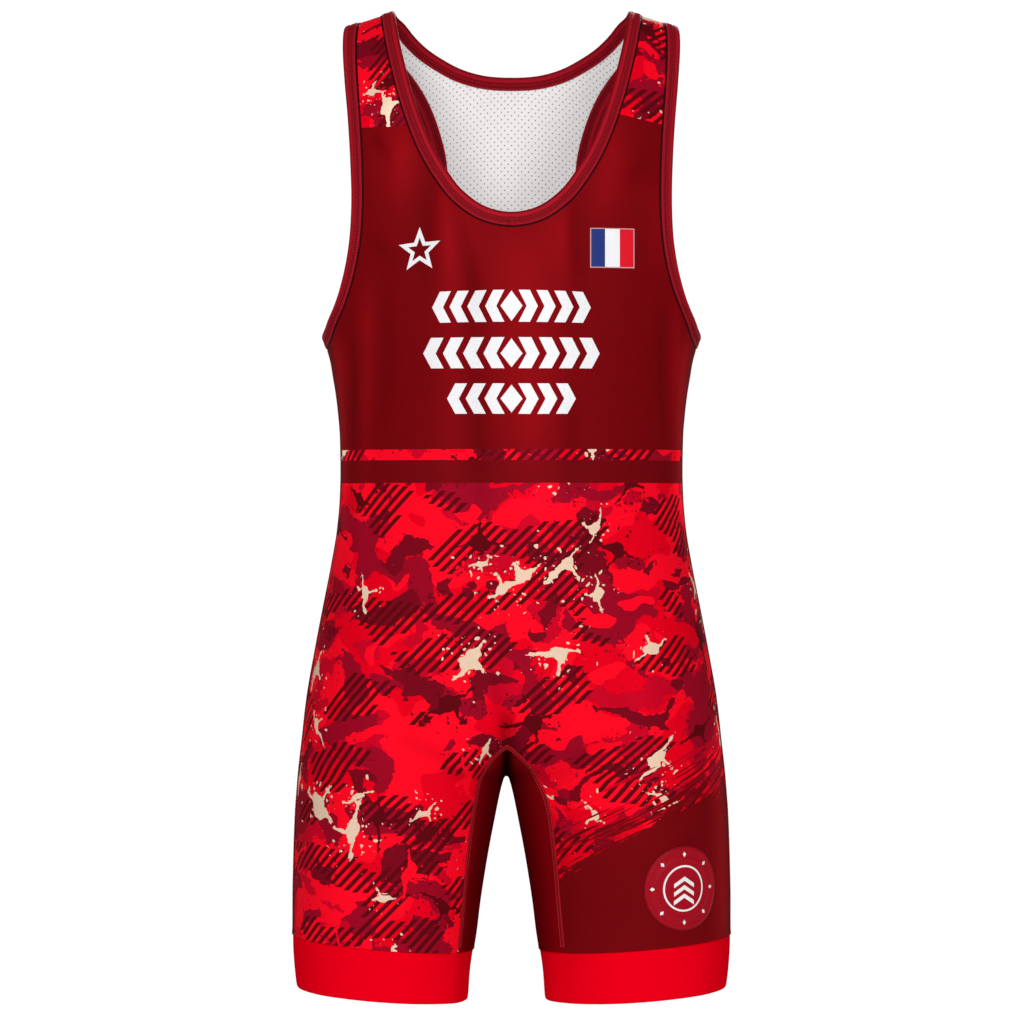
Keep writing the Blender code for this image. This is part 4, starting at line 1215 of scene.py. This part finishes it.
def star(x, y, radius, inner=0.42):
    """Distance inside the edge of a five-pointed star, under 0 outside it."""
    folded, far = x.angle(y).folded(math.pi / 5), (x * x + y * y).root()
    px, py = far * folded.cos(), far * folded.sin()
    tip = np.array([radius, 0.0])
    notch = radius * inner * np.array([math.cos(math.pi / 5), math.sin(math.pi / 5)])
    edge = (notch - tip) / np.linalg.norm(notch - tip)
    return (px - tip[0]) * -edge[1] + (py - tip[1]) * edge[0]


def chest_chevrons(u, v):
    """Three rows of chevrons that point away from a diamond on the centre line."""
    rows = []
    for top, bottom, pitch, count in CHEST_ROWS:
        rise = abs(v - (top + bottom) / 2)
        from_gem = abs(u) + rise * 0.55 - 13.0
        bars = ((from_gem / pitch).fract() < 0.63) & from_gem.between(0.0, pitch * (count - 0.2))
        gem = (abs(u) + rise * 0.8) < 9.5
        rows.append((bars | gem) & v.between(bottom, top))
    return rows[0] | rows[1] | rows[2]


def brushed_leg(g, u, v, colour):
    """The plain dark part of the left leg, whose upper edge is a dry brush stroke."""
    leg = dye(113, 7, 14)
    along, off = u * 0.9 + v * 0.43, v * 0.9 - u * 0.43
    brush = (g.noise(along / 46, off / 3.6, 4.4, 3.0, 0.6) - 0.5) * 54.0
    over = v - (g.math("POWER", 2.718, (u - 46.0) / -110.0) * -94.0 - 657.0)
    streaks = g.noise(along / 60, off / 3.0, 8.8, 2.0)
    for shade, level, reach in ((dye(190, 2, 27), 0.54, 46.0), (leg, 0.57, 34.0)):
        colour = g.paint(colour, shade, (streaks > level) & over.between(-20.0, reach) & (u > 30.0))
    return g.paint(colour, leg, ((over + brush) < 0.0) & (u > 20.0))


def print_colour(g, u, v, front):
    """The printed face, yoke, waist lines and camouflage, and where it is white."""
    camo = camouflage(g, u + (0.0 if front else BACK_PRINT_SHIFT), v)
    strap = (v - YOKE_EDGE - (abs(u) - 98.0) * 0.2) > 0.0
    if front:
        strap = strap & ((u < 0.0) | (v > LEFT_YOKE_EDGE))
    colour = g.paint(camo, dye(113, 6, 12), v.between(CHEST_FOOT, CHEST_TOP) & strap.no())
    colour = g.paint(colour, dye(110, 7, 14), v.between(*WAIST_LINE))
    if not front:
        return colour, 0.0
    inside = star(u - STAR[0], v - STAR[1], STAR[2])
    white = chest_chevrons(u, v) | inside.between(0.0, 3.1)
    return g.paint(brushed_leg(g, u, v, colour), dye(232, 231, 233), white), white


def printed_jersey(name, front):
    g = Graph(name, 0.6, specular=0.01)
    u, v = g.place()
    fine = knit(u, v)
    colour, white = print_colour(g, u, v, front)
    # Painted light and shade from each point, kept weaker on the white print.
    light = painted_light_at(g)
    light = light + (light.no() * white) * 0.8
    colour = g.shade(colour, light * wear(g, u, v) * (fine * 0.1 + 0.95))
    return g.finish(colour, fine, 0.09, 0.8)


def white_jersey(name, holes):
    """The unprinted inner face, with staggered rows of small holes where it is mesh."""
    g = Graph(name, 0.7, specular=0.12)
    u, v = g.place()
    fine = knit(u, v, 1.1)
    colour = g.shade((0.69, 0.672, 0.668), wear(g, u, v) * (fine * 0.08 + 0.96))
    if not holes:
        return g.finish(colour, fine, 0.08, 0.8)
    row = (v / HOLE_ROWS).floor()
    x = (((u / HOLE_PITCH) + row * 0.5).fract() - 0.5) * HOLE_PITCH
    y = ((v / HOLE_ROWS).fract() - 0.5) * HOLE_ROWS
    hole = (x * x + y * y).root().step(0.35, 0.8).no()
    return g.finish(g.paint(colour, dye(150, 146, 148), hole), fine * 0.3 - hole, 0.25, 1.0)


def plain_jersey(name, rgb, pitch=1.3, with_painted_light=False):
    g = Graph(name, 0.62, specular=0.0)
    u, v = g.place()
    fine = knit(u, v, pitch)
    light = wear(g, u, v) * (fine * 0.12 + 0.94)
    # Where asked, the colour is made lighter and darker by the painted light and shade kept with each point.
    return g.finish(g.shade(dye(*rgb), light * painted_light_at(g) if with_painted_light else light), fine, 0.09, 0.9)


def tape_material(name):
    """Ribbed tape with painted highlights on its crown and outer ridge, painted shade along its first needle
    row and a painted shadow on its lip.
    """
    g = Graph(name, 0.56, specular=0.03)
    depth, along = g.place()
    rib = depth.wave(1.1) * 0.25 + along.wave(0.9) * 0.25 + 0.5
    pucker = along.wave(PITCH) * depth.step(4.2, 6.3)
    first, last = NEEDLE_ROWS
    colour = dye(126, 6, 19)
    # Painted highlights on the crown and outer ridge, painted shade in the first needle row's groove and a
    # painted shadow on the strip past the inner edge
    for shade, mask in (
        (dye(165, 18, 34), abs(depth - 3.4).step(0.4, 2.6).no()),
        (dye(122, 6, 19), depth.between(first + 0.3, last + 0.5)),
        (dye(180, 26, 42), abs(depth - 11.35).step(0.15, 0.4).no()),
        (dye(96, 5, 16), abs(depth - first).step(0.2, 0.6).no() * 0.8),
        (dye(50, 3, 8), depth > 12.05),
    ):
        colour = g.paint(colour, shade, mask)
    colour = g.shade(colour, wear(g, depth, along) * (rib * 0.12 + 0.94))
    return g.finish(colour, rib * 0.4 + pucker * 0.3, 0.18, 0.9)


def thread_material(name, rgb):
    g = Graph(name, 0.5, specular=0.06)
    u, v = g.place()
    ply = (v * 9.0 + u * 9.0).sin() * 0.5 + 0.5
    speck = g.noise(u / 0.8, v / 0.8, 2.0, 2.0)
    return g.finish(g.shade(dye(*rgb), speck * 0.3 + 0.85), ply, 0.05, 0.8)


def seam_material(name, rgb):
    """Close cover threads that slant across a flat seam."""
    g = Graph(name, 0.6, specular=0.02)
    u, v = g.place()
    slant = (v + abs(u) * 0.8).wave(1.15) * 0.5 + 0.5
    return g.finish(g.shade(dye(*rgb), slant * 0.35 + 0.75), slant, 0.2, 0.9)


def flag_material(name):
    g = Graph(name, 0.55, specular=0.05)
    u, v = g.place()
    third = FLAG["wide"] / 6
    colour = g.paint(dye(38, 54, 122), dye(240, 239, 242), u > -third)
    colour = g.paint(colour, dye(222, 20, 40), u > third)
    border = (abs(u) > FLAG["wide"] / 2 - 0.8) | (abs(v) > FLAG["tall"] / 2 - 0.8)
    colour = g.paint(colour, dye(206, 160, 158), border)
    twill = (u + v).wave(0.8) * 0.5 + 0.5
    return g.finish(g.shade(colour, twill * 0.06 + 0.96), twill, 0.05, 0.8)


def badge_material(name):
    """Moulded crimson with a ring of small diamonds round three plain chevrons."""
    g = Graph(name, 0.5, specular=0.05)
    u, v = g.place()
    x, y = u / BADGE["radius"], v / BADGE["radius"]
    far, folded = (x * x + y * y).root(), x.angle(y).folded(math.pi / 8)
    along, aside = far * folded.cos(), far * folded.sin()
    marks = ((abs(along - 0.80) + aside * 1.35) < 0.062) | far.between(0.50, 0.545)
    for base in (-0.22, -0.02, 0.18):
        marks = marks | ((y + abs(x) * 0.62 - base).between(0.0, 0.1) & (abs(x) < 0.27))
    colour = g.paint(dye(160, 9, 29), dye(132, 7, 24), far > 0.96)
    colour = g.paint(colour, dye(240, 236, 234), marks)
    grain = g.noise(x * 60.0, y * 60.0, 0.0, 3.0)
    worn = g.noise(x * 3.0, y * 3.0, 5.0, 2.0) * 0.12 + 0.94
    return g.finish(g.shade(colour, worn), grain, 0.03, 0.6, grain * 0.16 + 0.34)


# Dressing the part


def put(piece, slot, *nodes):
    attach(piece, "root")
    if nodes:
        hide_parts(*nodes)
    return piece


thread = thread_material("crimson_thread", (192, 36, 52))
dark_thread = thread_material("maroon_thread", (140, 14, 24))
seam_thread = thread_material("seam_thread", (196, 40, 52))
tape = tape_material("ribbed_tape")
gusset_cover = seam_material("seam_cover", (138, 5, 16))
side_cover = seam_material("side_seam_cover", (138, 12, 20))
front_print, back_print = printed_jersey("front_print", True), printed_jersey("back_print", False)
plain_lining, mesh_lining = white_jersey("front_lining", False), white_jersey("mesh_lining", True)
gusset_face = plain_jersey("gusset_jersey", (104, 3, 9), with_painted_light=True)
cuff_face = plain_jersey("cuff_jersey", (232, 0, 24), 1.1)

front = put(add_panel("front_cloth", 1, [front_print, plain_lining]), "printed_jersey", "front_panel")
back = put(add_panel("back_cloth", -1, [back_print, mesh_lining]), "back_jersey", "back_panel")
gusset = put(add_gusset("gusset_cloth", [gusset_face, gusset_face]), "gusset_jersey", "gusset")
neck = put(add_tape("neck_tape", neck_loop, tape), "binding_tape", "neck_binding")
arms = [
    put(add_tape(f"armhole_tape_{side}", loop, tape), "binding_tape", f"armhole_binding_{side}")
    for side, loop in (("left", arm_loop), ("right", other_arm_loop))
]
for edge, loop in (("neck", neck_loop), ("armhole_left", arm_loop), ("armhole_right", other_arm_loop)):
    put(add_tape_stitches(f"{edge}_stitches", loop, thread), "binding_tape")
arches = [(gusset_arch(sign), sign, False) for sign in (1, -1)]
put(add_seam("gusset_seams", arches, [gusset_cover, seam_thread]), "gusset_jersey")
for name, line in (("side_seams", side_line()), ("shoulder_seams", shoulder_line())):
    halves = [(line, 1, mirrored) for mirrored in (False, True)]
    put(add_seam(name, halves, [side_cover, dark_thread]), "printed_jersey")
cuffs = [
    put(add_cuff(f"leg_cuff_{side}", side == "right", cuff_face), "band_jersey", f"leg_band_{side}")
    for side in ("left", "right")
]
flag = put(add_flag("flag_print", flag_material("flag_film")), "flag_film", "flag_patch")
badge = put(add_badge("badge_moulding", badge_material("badge_rubber")), "badge_film", "badge_patch")


# Stage, light and camera


def add_floor(height=-1.2, size=2.4, count=24):
    line = np.linspace(-size, size, count)
    mesh = bpy.data.meshes.new("floor")
    faces = grid_faces(count, count, False, False)
    mesh.from_pydata([(x, y, height) for y in line for x in line], [], faces.tolist())
    g = Graph("pale_floor", 0.8, specular=0.1)
    x, y, _ = g.apart(g.value("ShaderNodeNewGeometry", output="Position"))
    light = g.noise(x * 0.8, y * 0.8, 0.0, 2.0) * 0.02 + 0.97
    mesh.materials.append(g.finish(g.shade((0.95, 0.95, 0.95), light)))
    floor = add_item("floor", mesh)
    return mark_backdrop(floor)


def add_light(name, place, aim, size, power):
    lamp = bpy.data.lights.new(name, "AREA")
    lamp.shape, lamp.size, lamp.size_y, lamp.energy = "RECTANGLE", *size, power
    add_item(name, lamp, place, (Vector(aim) - Vector(place)).to_track_quat("-Z", "Y").to_euler())


def add_world():
    """A white room, which lights the cloth only a little."""
    world = bpy.data.worlds.new("studio")
    world.use_nodes = True
    tree = world.node_tree
    glow, seen = tree.nodes.new("ShaderNodeBackground"), tree.nodes["Background"]
    for shade, strength in ((glow, AMBIENT), (seen, GROUND)):
        shade.inputs["Color"].default_value = (1, 1, 1, 1)
        shade.inputs["Strength"].default_value = strength
    path, mix = tree.nodes.new("ShaderNodeLightPath"), tree.nodes.new("ShaderNodeMixShader")
    outputs = path.outputs["Is Camera Ray"], glow.outputs[0], seen.outputs[0]
    for output, socket in zip(outputs, mix.inputs):
        tree.links.new(output, socket)
    tree.links.new(mix.outputs[0], tree.nodes["World Output"].inputs["Surface"])
    bpy.context.scene.world = world


def add_camera(distance=3.6, half_width=0.45312):
    lens = bpy.data.cameras.new("view")
    lens.sensor_width, lens.sensor_fit = 36.0, "HORIZONTAL"
    lens.angle = 2 * math.atan(half_width / distance)
    bpy.context.scene.camera = add_item("view", lens, (0.00044, -distance, -0.4354), (math.pi / 2, 0, 0))


add_floor()
add_world()
add_light("key", (-0.9, -3.1, 0.9), (0, 0, -0.42), (1.0, 1.2), 76)
add_light("fill", (1.1, -3.1, 0.3), (0, 0, -0.45), (1.0, 1.2), 52)
add_light("rear", (0.7, 3.2, 1.5), (0, 0.2, -0.6), (1.8, 1.4), 110)
add_camera()
bpy.context.scene.view_settings.view_transform = "Standard"
